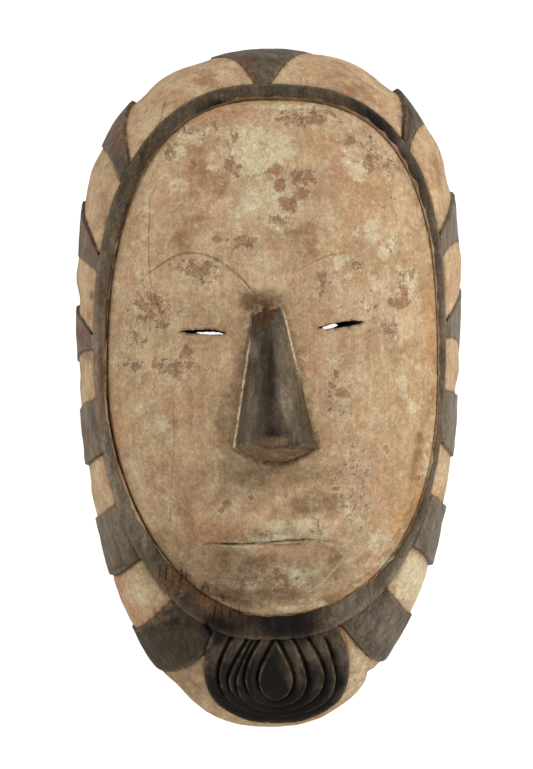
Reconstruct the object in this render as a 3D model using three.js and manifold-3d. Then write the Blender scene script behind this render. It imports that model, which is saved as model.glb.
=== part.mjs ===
// A carved and painted wooden face mask with a hollow back, lying on its back rim.
// The face looks along +Z and the crown points along +Y. Sizes are in millimetres, angles in degrees
// counted anticlockwise from +X about the middle of the face.

import * as THREE from 'three';
import Module from 'manifold-3d';

// Driving dimensions

const faceCentre = { x: 0, y: 12.4 };
const wallThickness = 9;

// Each egg is four quarter superellipses about its widest row. The last four values say how square
// each quarter is: 2 is an ellipse and more is squarer.
const backRim = {
  x: 0.6, y: 54.85, left: 106.5, right: 105.5, up: 132, down: 241.5,
  upLeft: 2.4, upRight: 2.5, downLeft: 2.35, downRight: 2.35,
};
const ridgeOutside = {
  x: -2.4, y: 24.5, left: 91.7, right: 97.5, up: 139, down: 161,
  upLeft: 2.3, upRight: 2.7, downLeft: 2.15, downRight: 2.45,
};
const ridgeInside = {
  x: 0, y: 6.5, left: 87, right: 90.5, up: 148, down: 130,
  upLeft: 2.47, upRight: 2.85, downLeft: 1.93, downRight: 2.3,
};

// The ridge stands on the meeting of face and side band, lower at the chin than at the temples.
const ridge = { level: 57, crownDrop: 4, chinDrop: 12, aboveBand: 4.5, aboveFace: 3 };
const sideBand = { roundness: 1.45, lobeSwell: 0.6 };
const face = { doming: 34, fullness: 2.4, edgeSoftness: 0.85 };
const muzzle = { x: 3, y: -78, width: 42, length: 20, height: 4.5 };
const eyeHollow = { x: 37, y: 18, width: 26, length: 17, depth: 2.6 };

// Dark painted blocks stand proud of the pale hair lobes. Each has two edges: its angles at the back
// rim and at the ridge, first the lower edge and then the upper one on the right side of the mask.
const paintedBlocks = [
  { rim: [84, 99], ridge: [90, 92.4], raise: [2.1, 1.5] },
  { rim: [57, 65.3], ridge: [57, 59], raise: [0.9, 2.2] },
  { rim: [33, 43.5], ridge: [32, 37], raise: [0.9, 1.9] },
  { rim: [5, 21.8], ridge: [9, 13.5], raise: [0.9, 1.4] },
  { rim: [333.5, 350.8], ridge: [336, 351.2], raise: [1.7, 1.2] },
  { rim: [308.8, 320.6], ridge: [308.5, 321.6], raise: [2.6, 2.2] },
  { rim: [291.4, 299.6], ridge: [286, 297.5], raise: [2, 1.4] },
  { rim: [117, 127], ridge: [125, 128.2], raise: [2, 1.8] },
  { rim: [138.2, 150], ridge: [147.6, 151.4], raise: [1.9, 0.9] },
  { rim: [162.7, 178.8], ridge: [170.6, 175], raise: [1.6, 1.1] },
  { rim: [193.5, 208.8], ridge: [191.4, 208], raise: [1.5, 1.7] },
  { rim: [221.8, 232.7], ridge: [222.9, 236.5], raise: [1.6, 2] },
  { rim: [242.7, 250.2], ridge: [248.2, 257], raise: [1.4, 1.8] },
];

const nose = {
  top: { x: -3, y: 43, halfWidth: 5.5, height: 4 },
  tip: { x: 3, y: -30, halfWidth: 21, height: 26 },
  baseDrop: 10.5,
  cornerRise: 9.5,
  undersideSlope: 2.5,
};
const eyeSlits = [
  { x: -34.4, y: 28.6, length: 23, height: 2.8, tilt: -2.6 },
  { x: 38, y: 32.8, length: 25.4, height: 3.2, tilt: 7 },
];
const mouth = { left: -31.5, right: 38.5, y: -83, bow: 1, width: 1.8, depth: 2.2 };
const browLines = [
  { start: [-6, 48], middle: [-38, 71], end: [-69, 54], width: 1.2 },
  { start: [7.5, 54.5], middle: [22, 66], end: [43, 71], width: 1.2 },
];

// The beard is a tab on the slope below the chin, cut into nested drop-shaped locks. Each groove is
// given by how far it stands left and right of the middle line at its top and where it is widest.
const beard = { x: 4.7, y: -153, left: 39, right: 39.5, up: 17.5, down: 33.5, raise: 2.6, squareness: 2.3 };
const lockGrooves = {
  middleX: 3.7, topY: -139, widestY: -158, width: 2.4, depth: 1.9,
  loops: [
    { top: [1.5, 1.8], widest: [10.4, 10.4], bottomY: -172.3 },
    { top: [8.8, 8.8], widest: [17.5, 18.8], bottomY: -177.3 },
    { top: [16.7, 18.8], widest: [24.5, 27], bottomY: -180.9 },
    { top: [25.3, 27.9], widest: [31.5, 34.4], bottomY: -183.3 },
  ],
};

const steps = {
  around: 96,
  face: [0.2, 0.4, 0.58, 0.74, 0.87, 0.96],
  band: [0.12, 0.3, 0.5, 0.68, 0.85, 1],
  hollowFace: [0.25, 0.45, 0.65, 0.82],
  hollowBand: [0.36, 0.55, 0.75, 0.9, 1],
};

// Small helpers

const radians = THREE.MathUtils.degToRad;
const mix = THREE.MathUtils.lerp;

function eggRadius(egg, angle) {
  // Distance from the middle of the face to the egg along one direction, found once by halving.
  egg.found ??= new Map();
  if (egg.found.has(angle)) return egg.found.get(angle);
  const dx = Math.cos(radians(angle));
  const dy = Math.sin(radians(angle));
  let inside = 0;
  let outside = 400;
  for (let i = 0; i < 40; i++) {
    const r = (inside + outside) / 2;
    const x = faceCentre.x + r * dx - egg.x;
    const y = faceCentre.y + r * dy - egg.y;
    const squareness = y > 0 ? (x < 0 ? egg.upLeft : egg.upRight) : (x < 0 ? egg.downLeft : egg.downRight);
    const across = Math.abs(x) / (x < 0 ? egg.left : egg.right);
    const along = Math.abs(y) / (y < 0 ? egg.down : egg.up);
    if (across ** squareness + along ** squareness < 1) inside = r;
    else outside = r;
  }
  egg.found.set(angle, inside);
  return inside;
}

function polarPoint(angle, radius, z) {
  const a = radians(angle);
  return new THREE.Vector3(faceCentre.x + radius * Math.cos(a), faceCentre.y + radius * Math.sin(a), z);
}

function angleAndRadius(x, y) {
  const dx = x - faceCentre.x;
  const dy = y - faceCentre.y;
  const angle = THREE.MathUtils.radToDeg(Math.atan2(dy, dx));
  return { angle: angle < 0 ? angle + 360 : angle, radius: Math.hypot(dx, dy) };
}

// Surfaces of the carving

function ridgeLevel(y) {
  const up = Math.max(0, y - faceCentre.y) / 150;
  const down = Math.max(0, faceCentre.y - y) / 136;
  return ridge.level - ridge.crownDrop * up ** 2 - ridge.chinDrop * down ** 2;
}

function faceHeight(x, y) {
  const { angle, radius } = angleAndRadius(x, y);
  const rho = Math.min(1, radius / eggRadius(ridgeInside, angle));
  const hump = (dx, dy) => Math.exp(-dx * dx - dy * dy);
  let z = ridgeLevel(y) + ridge.aboveBand - ridge.aboveFace;
  z += face.doming * (1 - rho ** face.fullness) ** face.edgeSoftness;
  z += muzzle.height * hump((x - muzzle.x) / muzzle.width, (y - muzzle.y) / muzzle.length);
  z -= eyeHollow.depth * hump((Math.abs(x) - eyeHollow.x) / eyeHollow.width, (y - eyeHollow.y) / eyeHollow.length);
  return z;
}

const blockEdges = paintedBlocks.map((block) => block.rim).sort((a, b) => a[0] - b[0]);

function lobeSwell(angle) {
  // Each pale lobe between two blocks swells a little in its middle.
  for (let i = 0; i < blockEdges.length; i++) {
    const start = blockEdges[i][1];
    const end = i + 1 < blockEdges.length ? blockEdges[i + 1][0] : blockEdges[0][0] + 360;
    const along = (((angle - start) % 360) + 360) % 360;
    if (along < end - start) return sideBand.lobeSwell * Math.sin((Math.PI * along) / (end - start));
  }
  return 0;
}

function bandPlace(angle, s) {
  // s runs from 0 at the foot of the ridge to 1 at the back rim.
  const foot = eggRadius(ridgeOutside, angle);
  const rim = eggRadius(backRim, angle) + lobeSwell(angle) * Math.min(1, s * 3);
  const turn = (Math.PI / 2) * s;
  const power = 2 / sideBand.roundness;
  const level = ridgeLevel(polarPoint(angle, foot, 0).y);
  return polarPoint(angle, mix(foot, rim, Math.sin(turn) ** power), level * Math.abs(Math.cos(turn)) ** power);
}

function bandNormal(angle, s) {
  const alongAngle = bandPlace(angle + 1, s).sub(bandPlace(angle - 1, s));
  const alongSlope = bandPlace(angle, Math.min(1, s + 0.03)).sub(bandPlace(angle, Math.max(0, s - 0.03)));
  const normal = alongSlope.cross(alongAngle).normalize();
  if (s > 0.999) normal.setZ(0).normalize();
  return normal;
}

function bandPoint(angle, s, raise) {
  return bandPlace(angle, s).addScaledVector(bandNormal(angle, s), raise);
}

function bandPointBelow(x, y, raise) {
  // The point of the side band that lies under one place of the front view.
  const { angle, radius } = angleAndRadius(x, y);
  const foot = eggRadius(ridgeOutside, angle);
  const rim = eggRadius(backRim, angle);
  const across = THREE.MathUtils.clamp((radius - foot) / (rim - foot), 0, 0.995);
  const s = Math.asin(across ** (sideBand.roundness / 2)) / (Math.PI / 2);
  return bandPoint(angle, s, raise);
}

function ridgeSection(angle) {
  // Radius and height of the rounded ridge, from the face side to the band side.
  const inside = eggRadius(ridgeInside, angle);
  const outside = eggRadius(ridgeOutside, angle);
  const level = ridgeLevel(polarPoint(angle, outside, 0).y);
  const faceEdge = faceHeight(...polarPoint(angle, inside, 0).toArray().slice(0, 2));
  const top = level + ridge.aboveBand;
  return [
    [inside, faceEdge],
    [mix(inside, outside, 0.16), mix(faceEdge, top, 0.8)],
    [mix(inside, outside, 0.42), top],
    [mix(inside, outside, 0.76), mix(level, top, 0.86)],
    [outside, level],
  ];
}

// Solids by manifold-3d

const wasm = await Module();
wasm.setup();

function solidFrom(points, triangles) {
  const mesh = new wasm.Mesh({
    numProp: 3,
    vertProperties: new Float32Array(points.flatMap((p) => [p.x, p.y, p.z])),
    triVerts: new Uint32Array(triangles.flat()),
  });
  mesh.merge();
  const solid = new wasm.Manifold(mesh);
  if (solid.volume() <= 0) throw new Error('a solid is inside out');
  return solid;
}

function closedRings(rings, firstPole, lastPole) {
  // Joins rings of equal length one after another, and closes both ends onto a pole.
  const count = rings[0].length;
  const points = [firstPole, ...rings.flat(), lastPole];
  const triangles = [];
  const at = (ring, i) => 1 + ring * count + (i % count);
  const last = points.length - 1;
  for (let i = 0; i < count; i++) {
    triangles.push([0, at(0, i), at(0, i + 1)]);
    triangles.push([last, at(rings.length - 1, i + 1), at(rings.length - 1, i)]);
    for (let ring = 0; ring + 1 < rings.length; ring++) {
      triangles.push([at(ring, i), at(ring + 1, i), at(ring + 1, i + 1)]);
      triangles.push([at(ring, i), at(ring + 1, i + 1), at(ring, i + 1)]);
    }
  }
  return solidFrom(points, triangles);
}

function slab(columns, rows, topPoint, bottomPoint) {
  // A closed plate over a grid: topPoint and bottomPoint give its two sides at (i, j) in 0..1.
  const points = [];
  const triangles = [];
  const at = (side, i, j) => side * (columns + 1) * (rows + 1) + j * (columns + 1) + i;
  for (const place of [topPoint, bottomPoint]) {
    for (let j = 0; j <= rows; j++) {
      for (let i = 0; i <= columns; i++) points.push(place(i / columns, j / rows));
    }
  }
  const quad = (a, b, c, d) => triangles.push([a, b, c], [a, c, d]);
  for (let j = 0; j < rows; j++) {
    for (let i = 0; i < columns; i++) {
      quad(at(0, i, j), at(0, i + 1, j), at(0, i + 1, j + 1), at(0, i, j + 1));
      quad(at(1, i, j), at(1, i, j + 1), at(1, i + 1, j + 1), at(1, i + 1, j));
    }
    quad(at(0, 0, j), at(0, 0, j + 1), at(1, 0, j + 1), at(1, 0, j));
    quad(at(0, columns, j + 1), at(0, columns, j), at(1, columns, j), at(1, columns, j + 1));
  }
  for (let i = 0; i < columns; i++) {
    quad(at(0, i + 1, 0), at(0, i, 0), at(1, i, 0), at(1, i + 1, 0));
    quad(at(0, i, rows), at(0, i + 1, rows), at(1, i + 1, rows), at(1, i, rows));
  }
  return solidFrom(points, triangles);
}

function gouge(places, width, depth) {
  // The cut of a gouge: a diamond section drawn along a row of places, pointed at both ends.
  const rings = places.slice(1, -1).map((p, i) => {
    const ahead = places[i + 2].clone().sub(places[i]);
    const side = new THREE.Vector3(0, 0, 1).cross(ahead).setLength(width / 2);
    const down = ahead.cross(side).setLength(depth);
    return [down, side, down.clone().negate(), side.clone().negate()].map((offset) => offset.add(p));
  });
  return closedRings(rings, places[0], places.at(-1));
}

const angles = Array.from({ length: steps.around }, (_, i) => (360 * i) / steps.around);

function outerCarving() {
  const rings = [];
  for (const rho of steps.face) {
    rings.push(angles.map((angle) => {
      const p = polarPoint(angle, rho * eggRadius(ridgeInside, angle), 0);
      return p.setZ(faceHeight(p.x, p.y));
    }));
  }
  const sections = angles.map(ridgeSection);
  for (let row = 0; row < sections[0].length; row++) {
    rings.push(angles.map((angle, i) => polarPoint(angle, ...sections[i][row])));
  }
  for (const s of steps.band) rings.push(angles.map((angle) => bandPoint(angle, s, 0)));
  const middle = new THREE.Vector3(faceCentre.x, faceCentre.y, faceHeight(faceCentre.x, faceCentre.y));
  return closedRings(rings, middle, new THREE.Vector3(faceCentre.x, faceCentre.y, 0));
}

function hollow() {
  // The inside follows the carving one wall thickness in, and turns one broad corner behind the ridge.
  const rings = steps.hollowFace.map((rho) => angles.map((angle) => {
    const p = polarPoint(angle, rho * eggRadius(ridgeInside, angle), 0);
    return p.setZ(faceHeight(p.x, p.y) - wallThickness * mix(1, 1.25, rho));
  }));
  rings.push(angles.map((angle) => {
    const middle = mix(eggRadius(ridgeInside, angle), eggRadius(ridgeOutside, angle), 0.5);
    const corner = polarPoint(angle, middle - wallThickness * 0.8, 0);
    return corner.setZ(ridgeLevel(corner.y) - wallThickness * 0.6);
  }));
  for (const s of steps.hollowBand) rings.push(angles.map((angle) => bandPoint(angle, s, -wallThickness)));
  rings.push(rings.at(-1).map((p) => p.clone().setZ(-5)));
  const middle = polarPoint(0, 0, faceHeight(faceCentre.x, faceCentre.y) - wallThickness);
  return closedRings(rings, middle, polarPoint(0, 0, -5));
}

function paintedBlock({ rim, ridge: ridgeEdges, raise }) {
  const columns = Math.max(2, Math.round((rim[1] - rim[0]) / 4));
  const start = 0.02;
  const place = (i, j, height) => {
    const s = mix(start, 1, j);
    const angle = mix(mix(ridgeEdges[0], rim[0], s), mix(ridgeEdges[1], rim[1], s), i);
    return bandPoint(angle, s, height);
  };
  const top = (i, j) => place(1 - i, j, mix(raise[1], raise[0], i));
  const bottom = (i, j) => place(1 - i, j, -4);
  return slab(columns, 5, top, bottom);
}

function noseHeight(x, y) {
  const along = THREE.MathUtils.clamp((nose.top.y - y) / (nose.top.y - nose.tip.y), 0, 1.2);
  const centre = mix(nose.top.x, nose.tip.x, along);
  const halfWidth = mix(nose.top.halfWidth, nose.tip.halfWidth, along);
  const across = Math.min(1, Math.abs(x - centre) / halfWidth);
  const front = mix(nose.top.height, nose.tip.height, along) * (1 - across ** 2) ** 0.85;
  const sideways = (x - nose.tip.x) / nose.tip.halfWidth;
  const base = nose.tip.y - nose.baseDrop + nose.cornerRise * sideways * sideways;
  return Math.min(front, (y - base) * nose.undersideSlope);
}

function noseSolid() {
  const place = (i, j) => {
    const y = mix(nose.top.y, nose.tip.y - nose.baseDrop, j);
    const along = (nose.top.y - y) / (nose.top.y - nose.tip.y);
    const centre = mix(nose.top.x, nose.tip.x, along);
    const halfWidth = mix(nose.top.halfWidth, nose.tip.halfWidth, along);
    const side = Math.sin((Math.PI / 2) * mix(-1, 1, i));
    return new THREE.Vector3(centre + side * halfWidth, y, 0);
  };
  const top = (i, j) => {
    const p = place(i, 1 - j);
    return p.setZ(faceHeight(p.x, p.y) + Math.max(-1.5, noseHeight(p.x, p.y)));
  };
  const bottom = (i, j) => {
    const p = place(i, 1 - j);
    return p.setZ(faceHeight(p.x, p.y) - 5);
  };
  return slab(12, 12, top, bottom);
}

function beardTab() {
  const count = 36;
  const outline = (turn, scale) => {
    const x = Math.cos(turn);
    const y = Math.sin(turn);
    const round = (Math.abs(x) ** beard.squareness + Math.abs(y) ** beard.squareness) ** (-1 / beard.squareness);
    const right = x < 0 ? beard.left : beard.right;
    const up = y < 0 ? beard.down : beard.up;
    return [beard.x + scale * round * x * right, beard.y + scale * round * y * up];
  };
  const ring = (scale, raise) => Array.from({ length: count }, (_, i) => {
    return bandPointBelow(...outline((2 * Math.PI * i) / count, scale), raise);
  });
  const rings = [0.3, 0.55, 0.78, 0.94].map((scale) => ring(scale, beard.raise));
  rings.push(ring(1, beard.raise * 0.7), ring(1, -4));
  const front = bandPointBelow(beard.x, beard.y, beard.raise);
  return closedRings(rings, front, bandPointBelow(beard.x, beard.y, -5));
}

function lockGroove({ top, widest, bottomY }) {
  // A drop: it leaves the top narrow, is widest halfway and closes below in half an ellipse.
  const { middleX, topY, widestY, width, depth } = lockGrooves;
  const places = [];
  for (let i = 0; i <= 20; i++) {
    const turn = mix(-1, 1, i / 20);
    const side = turn < 0 ? 0 : 1;
    const drop = Math.abs(turn);
    const rise = Math.max(0, 2 * drop - 1);
    const round = Math.PI * Math.min(0.5, drop);
    const x = rise > 0 ? mix(widest[side], top[side], rise ** 1.6) : widest[side] * Math.sin(round);
    const y = rise > 0 ? mix(widestY, topY, rise) : mix(widestY, bottomY, Math.cos(round));
    places.push(bandPointBelow(middleX + (side ? x : -x), y, beard.raise));
  }
  return gouge(places, width, depth);
}

function eyeSlit({ x, y, length, height, tilt }) {
  const half = length / 2;
  const shape = new THREE.Shape();
  shape.moveTo(-half, 0);
  shape.quadraticCurveTo(-half * 0.3, height * 0.75, half * 0.45, height * 0.5);
  shape.lineTo(half, 0);
  shape.quadraticCurveTo(0, -height * 0.9, -half, 0);
  const outline = shape.getPoints(5);
  if (outline[0].distanceTo(outline.at(-1)) < 1e-6) outline.pop();
  if (THREE.ShapeUtils.isClockWise(outline)) outline.reverse();
  const turn = new THREE.Vector2();
  const ring = (z) => outline.map((p) => {
    turn.copy(p).rotateAround(new THREE.Vector2(), radians(tilt));
    return new THREE.Vector3(x + turn.x, y + turn.y, z);
  });
  const ceiling = new THREE.Vector3(x, y, 120);
  return closedRings([ring(120), ring(40)], ceiling, new THREE.Vector3(x, y, 40));
}

function faceLine(start, middle, end, width, depth, segments) {
  const bend = new THREE.QuadraticBezierCurve3(
    new THREE.Vector3(...start, 0), new THREE.Vector3(...middle, 0), new THREE.Vector3(...end, 0),
  );
  const places = bend.getPoints(segments).map((p) => p.setZ(faceHeight(p.x, p.y)));
  return gouge(places, width, depth);
}

function buildMask() {
  let carving = outerCarving();
  for (const block of paintedBlocks) carving = carving.add(paintedBlock(block));
  carving = carving.add(noseSolid()).add(beardTab());
  for (const loop of lockGrooves.loops) carving = carving.subtract(lockGroove(loop));
  carving = carving.subtract(hollow());
  for (const slit of eyeSlits) carving = carving.subtract(eyeSlit(slit));
  const lips = [(mouth.left + mouth.right) / 2, mouth.y + mouth.bow];
  carving = carving.subtract(
    faceLine([mouth.left, mouth.y], lips, [mouth.right, mouth.y], mouth.width, mouth.depth, 10),
  );
  for (const { start, middle, end, width } of browLines) {
    const pull = middle.map((value, axis) => 2 * value - (start[axis] + end[axis]) / 2);
    carving = carving.subtract(faceLine(start, pull, end, width, 1, 12));
  }
  return carving.asOriginal().simplify(0.06);
}

function geometryOf(solid) {
  const { vertProperties, triVerts } = solid.getMesh();
  const geometry = new THREE.BufferGeometry();
  geometry.setAttribute('position', new THREE.BufferAttribute(new Float32Array(vertProperties), 3));
  geometry.setIndex(new THREE.BufferAttribute(new Uint32Array(triVerts), 1));
  geometry.computeVertexNormals();
  return geometry;
}

const paintedWood = new THREE.MeshStandardMaterial({ color: 0xc4ab85, roughness: 0.8, metalness: 0 });

const mask = new THREE.Mesh(geometryOf(buildMask()), paintedWood);
mask.name = 'mask';

const part = new THREE.Group();
part.add(mask);

export default part;
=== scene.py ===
"""Blender finish for a hollow carved face mask that lies on its back rim and looks straight up.

The carved front is worked out on a flat sheet around the middle of the face, as if the side band were
unrolled into the plane of the face. Every arris, groove and painted edge is a line on that sheet. The
sheet is cut into triangles along those lines and each corner is then set at its place in space. The
forms are in millimetres and turn into metres when the mesh is made.
"""

from __future__ import annotations

import logging
import math
from collections.abc import Callable
from dataclasses import dataclass
from enum import Enum
from functools import cached_property, partialmethod

import bmesh
import bpy
import numpy as np
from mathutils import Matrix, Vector, kdtree
from mathutils.geometry import delaunay_2d_cdt


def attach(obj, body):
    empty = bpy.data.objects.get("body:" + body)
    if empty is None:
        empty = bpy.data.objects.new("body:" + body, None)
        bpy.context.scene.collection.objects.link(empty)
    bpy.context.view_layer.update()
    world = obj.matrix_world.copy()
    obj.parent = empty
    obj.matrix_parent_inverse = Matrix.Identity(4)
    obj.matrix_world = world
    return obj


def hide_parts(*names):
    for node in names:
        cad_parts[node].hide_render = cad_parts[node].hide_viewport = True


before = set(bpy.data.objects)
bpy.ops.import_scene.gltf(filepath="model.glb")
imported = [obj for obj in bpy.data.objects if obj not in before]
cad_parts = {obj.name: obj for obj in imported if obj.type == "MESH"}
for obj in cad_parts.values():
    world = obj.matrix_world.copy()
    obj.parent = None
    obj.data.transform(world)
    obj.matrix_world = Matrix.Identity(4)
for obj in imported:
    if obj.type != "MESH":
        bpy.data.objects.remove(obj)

LOG = logging.getLogger("mask")
METRES = 0.001
TURN = 2.0 * math.pi
HALVINGS = 44
FACE_MIDDLE = (0.0, 12.4)
FAR_AWAY = 50.0
NO_INK = -20.0
INK_LIMIT = 8.0
Array = np.ndarray
Place = tuple[float, float]


def mix(low: Array | float, high: Array | float, share: Array | float) -> Array | float:
    """Return the value that lies the given share of the way from low to high."""
    return low + (high - low) * share


def ramp(value: Array, start: float, end: float) -> Array:
    """Rise smoothly from 0 at start to 1 at end."""
    share = np.clip((value - start) / (end - start), 0.0, 1.0)
    return share * share * (3.0 - 2.0 * share)


def bell(distance: Array, width: float) -> Array:
    """Return a soft hill: 1 at distance 0, and almost 0 two widths away."""
    return np.exp(-((distance / width) ** 2))


def at_angle(angle: Array, table: tuple[tuple[float, ...], tuple[float, ...]]) -> Array:
    """Read a table of degrees and values at each angle in radians."""
    return np.interp(np.mod(np.degrees(angle), 360.0), *table)


def polar(x: Array, y: Array) -> tuple[Array, Array]:
    """Return each place's angle around the middle of the face and its distance from there."""
    dx, dy = x - FACE_MIDDLE[0], y - FACE_MIDDLE[1]
    return np.arctan2(dy, dx), np.hypot(dx, dy)


def spread(angle: Array, radius: Array) -> tuple[Array, Array]:
    """Return the places across and along the front at angles and distances from the middle of the face."""
    return FACE_MIDDLE[0] + radius * np.cos(angle), FACE_MIDDLE[1] + radius * np.sin(angle)


def halve(low: Array, high: Array, holds: Callable[[Array], Array]) -> Array:
    """Find where a condition ends, between low values that meet it and high ones that don't."""
    for _ in range(HALVINGS):
        middle = (low + high) / 2.0
        yes = holds(middle)
        low, high = np.where(yes, middle, low), np.where(yes, high, middle)
    return low


def curve_between(a: Array, b: Array, c: Array, d: Array, share: Array) -> Array:
    """Return places on a Catmull-Rom curve, a share of the way from its second to its third corner."""
    bend = 2 * b + (c - a) * share + (2 * a - 5 * b + 4 * c - d) * share**2
    return 0.5 * (bend + (3 * b - a - 3 * c + d) * share**3)


class HandNoise:
    """Slow smooth unevenness, as left by a hand tool: a fixed sum of waves."""

    def __init__(self, seed: int, wavelength: float, waves: int = 14) -> None:
        """Choose the waves, by a seed and by the usual distance between two crests in millimetres."""
        random = np.random.default_rng(seed)
        length = wavelength * random.uniform(0.6, 1.7, waves)
        heading = random.normal(size=(waves, 3))
        heading /= np.linalg.norm(heading, axis=1)[:, None]
        self.pull = heading * (TURN / length)[:, None]
        self.phase = random.uniform(0.0, TURN, waves)
        self.share = 1.0 / math.sqrt(waves / 2.0)

    def at(self, place: Array) -> Array:
        """Return a height of about -1 to 1 for each row of places."""
        return np.sin(place @ self.pull.T + self.phase).sum(axis=1) * self.share * 0.6


@dataclass(frozen=True)
class Egg:
    """An egg-shaped outline: four quarter superellipses about its widest row."""

    x: float
    y: float
    left: float
    right: float
    up: float
    down: float
    up_left: float
    up_right: float
    down_left: float
    down_right: float

    @cached_property
    def table(self) -> tuple[Array, Array]:
        """Angles and the egg's distance from the middle of the face along each."""
        angle = np.linspace(0.0, TURN, 2881)

        def within(radius: Array) -> Array:
            x, y = spread(angle, radius)
            x, y = x - self.x, y - self.y
            above = np.where(x < 0, self.up_left, self.up_right)
            below = np.where(x < 0, self.down_left, self.down_right)
            power = np.where(y > 0, above, below)
            across = np.abs(x) / np.where(x < 0, self.left, self.right)
            along = np.abs(y) / np.where(y < 0, self.down, self.up)
            return across**power + along**power < 1.0

        return angle, halve(np.zeros_like(angle), np.full_like(angle, 400.0), within)

    def radius(self, angle: Array) -> Array:
        """Return the distance from the middle of the face to the egg at each angle in radians."""
        return np.interp(np.mod(angle, TURN), *self.table)


BACK_RIM = Egg(0.6, 54.85, 106.5, 105.5, 132.0, 241.5, 2.4, 2.5, 2.35, 2.35)
RIDGE_OUTSIDE = Egg(-2.4, 24.5, 91.7, 97.5, 139.0, 161.0, 2.3, 2.7, 2.15, 2.45)
RIDGE_INSIDE = Egg(0.0, 6.5, 87.0, 90.5, 148.0, 130.0, 2.47, 2.85, 1.93, 2.3)


@dataclass(frozen=True)
class CutLine:
    """A line cut into the front with a blade or opened by a split in the wood."""

    points: tuple[Place, ...]
    half_width: float
    depth: float
    step: float = 1.0

    @cached_property
    def path(self) -> Array:
        """The line as a smooth row of places about one step apart."""
        corners = np.array(self.points, dtype=float)
        if len(corners) > 2:
            corners = smooth_row(corners, 12)
        return even_row(corners, self.step)

    def sides(self) -> tuple[Array, Array]:
        """Return the two edges of the cut, half a width to each side of its path."""
        return beside(self.path, self.half_width), beside(self.path, -self.half_width)

    def distance(self, x: Array, y: Array) -> Array:
        """Return the distance of each place in the front view from the line."""
        return nearest_on_row(x, y, self.path)[0]

    def closeness(self, x: Array, y: Array) -> Array:
        """Return 1 on the line, falling to 0 at its edges and fading towards its two ends."""
        (left, bottom), (right, top) = self.path.min(axis=0), self.path.max(axis=0)
        reach = self.half_width
        near = (x > left - reach) & (x < right + reach) & (y > bottom - reach) & (y < top + reach)
        distance, along = nearest_on_row(x[near], y[near], self.path)
        ends = np.clip(np.minimum(along, 1.0 - along) / 0.15, 0.0, 1.0)
        close = np.zeros(x.shape)
        close[near] = np.clip(1.0 - distance / self.half_width, 0.0, 1.0) * ends
        return close


class Mark(Enum):
    """What the surface carries at a place, and the name under which the mesh keeps it."""

    INK = "ink"
    WEAR = "rubbed_edge"
    # painted shade: darker in grooves, in the beard's cuts and at the feet of the ridge, blocks and beard
    RECESS = "recess"
    # rubbed bare lines, and a painted highlight along the mouth's lower lip
    BARE = "bare_line"
    # dark cracks and nicks, and painted shadow under the nose, in dents, round the eye slits and in the mouth
    DARK = "dark_line"
    BROWN = "brown_stain"
    PINK = "pink_stain"
    OCHRE = "ochre_stain"
    PALE = "pale_clay"
    FLAKED = "flaked"
    SPOT = "ringed_spot"
    # old soiling, and painted shade under and beside the nose, on the chin, by the ridge and where the band
    # turns down to the rim
    DIRT = "settled_dirt"
    WORN = "worn_black"
    SOOT = "soot"
    # greyed black paint, and painted highlights on the nose flanks and the lower right ridge
    GREY = "greyed_black"


@dataclass(frozen=True)
class Streak(CutLine):
    """A thin line that also carries one mark: a rubbed bare line, a dark line, and along the mouth a painted
    shadow and a painted highlight.
    """

    kind: Mark = Mark.DARK
    strength: float = 0.8


def smooth_row(corners: Array, pieces: int, closed: bool = False) -> Array:
    """Draw a Catmull-Rom curve through corners, in so many straight pieces from each to the next."""
    before, after = 2 * corners[:1] - corners[1:2], 2 * corners[-1:] - corners[-2:-1]
    if closed:
        before, after = corners[-1:], corners[:2]
    padded = np.concatenate([before, corners, after])
    share = np.linspace(0.0, 1.0, pieces, endpoint=False)[:, None]
    stretches = [curve_between(*near, share) for near in zip(padded, padded[1:], padded[2:], padded[3:])]
    if not closed:
        stretches.append(corners[-1:])
    return np.concatenate(stretches)


def even_row(row: Array, step: float) -> Array:
    """Space a row of places evenly, about one step apart, keeping both of its ends."""
    length = np.concatenate([[0.0], np.cumsum(np.linalg.norm(np.diff(row, axis=0), axis=1))])
    stops = np.linspace(0.0, length[-1], max(2, round(length[-1] / step) + 1))
    return np.stack([np.interp(stops, length, row[:, 0]), np.interp(stops, length, row[:, 1])], axis=1)


def beside(row: Array, gap: float) -> Array:
    """Return a row of places that runs beside another, the gap to its left being positive."""
    ahead = np.gradient(row, axis=0)
    ahead /= np.linalg.norm(ahead, axis=1)[:, None]
    return row + gap * np.stack([-ahead[:, 1], ahead[:, 0]], axis=1)


def nearest_on_row(x: Array, y: Array, row: Array) -> tuple[Array, Array]:
    """Find the nearest point of a row of straight pieces.

    Args:
        x: Places across the front view.
        y: Places along the front view.
        row: The corners of the row, one per line.

    Returns:
        For each place its distance from that point, and how far along the row the point lies, from 0 to 1.
    """
    nearest, along = np.full(x.shape, 1e9), np.zeros(x.shape)
    for i, ((ax, ay), (bx, by)) in enumerate(zip(row[:-1], row[1:])):
        dx, dy = bx - ax, by - ay
        share = np.clip(((x - ax) * dx + (y - ay) * dy) / max(dx * dx + dy * dy, 1e-12), 0.0, 1.0)
        square = (x - ax - share * dx) ** 2 + (y - ay - share * dy) ** 2
        along = np.where(square < nearest, (i + share) / (len(row) - 1), along)
        nearest = np.minimum(nearest, square)
    return np.sqrt(nearest), along


def distance_to_loop(x: Array, y: Array, loop: Array) -> Array:
    """Return the distance of each place from a closed loop of corners."""
    return nearest_on_row(x, y, np.concatenate([loop, loop[:1]]))[0]


def inside_loop(x: Array, y: Array, loop: Array) -> Array:
    """Return whether each place lies within a closed loop of corners."""
    within = np.zeros(x.shape, dtype=bool)
    for (ax, ay), (bx, by) in zip(loop, np.roll(loop, -1, axis=0)):
        crosses = (ay > y) != (by > y)
        with np.errstate(divide="ignore", invalid="ignore"):
            within ^= crosses & (x < (bx - ax) * (y - ay) / (by - ay) + ax)
    return within


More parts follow.
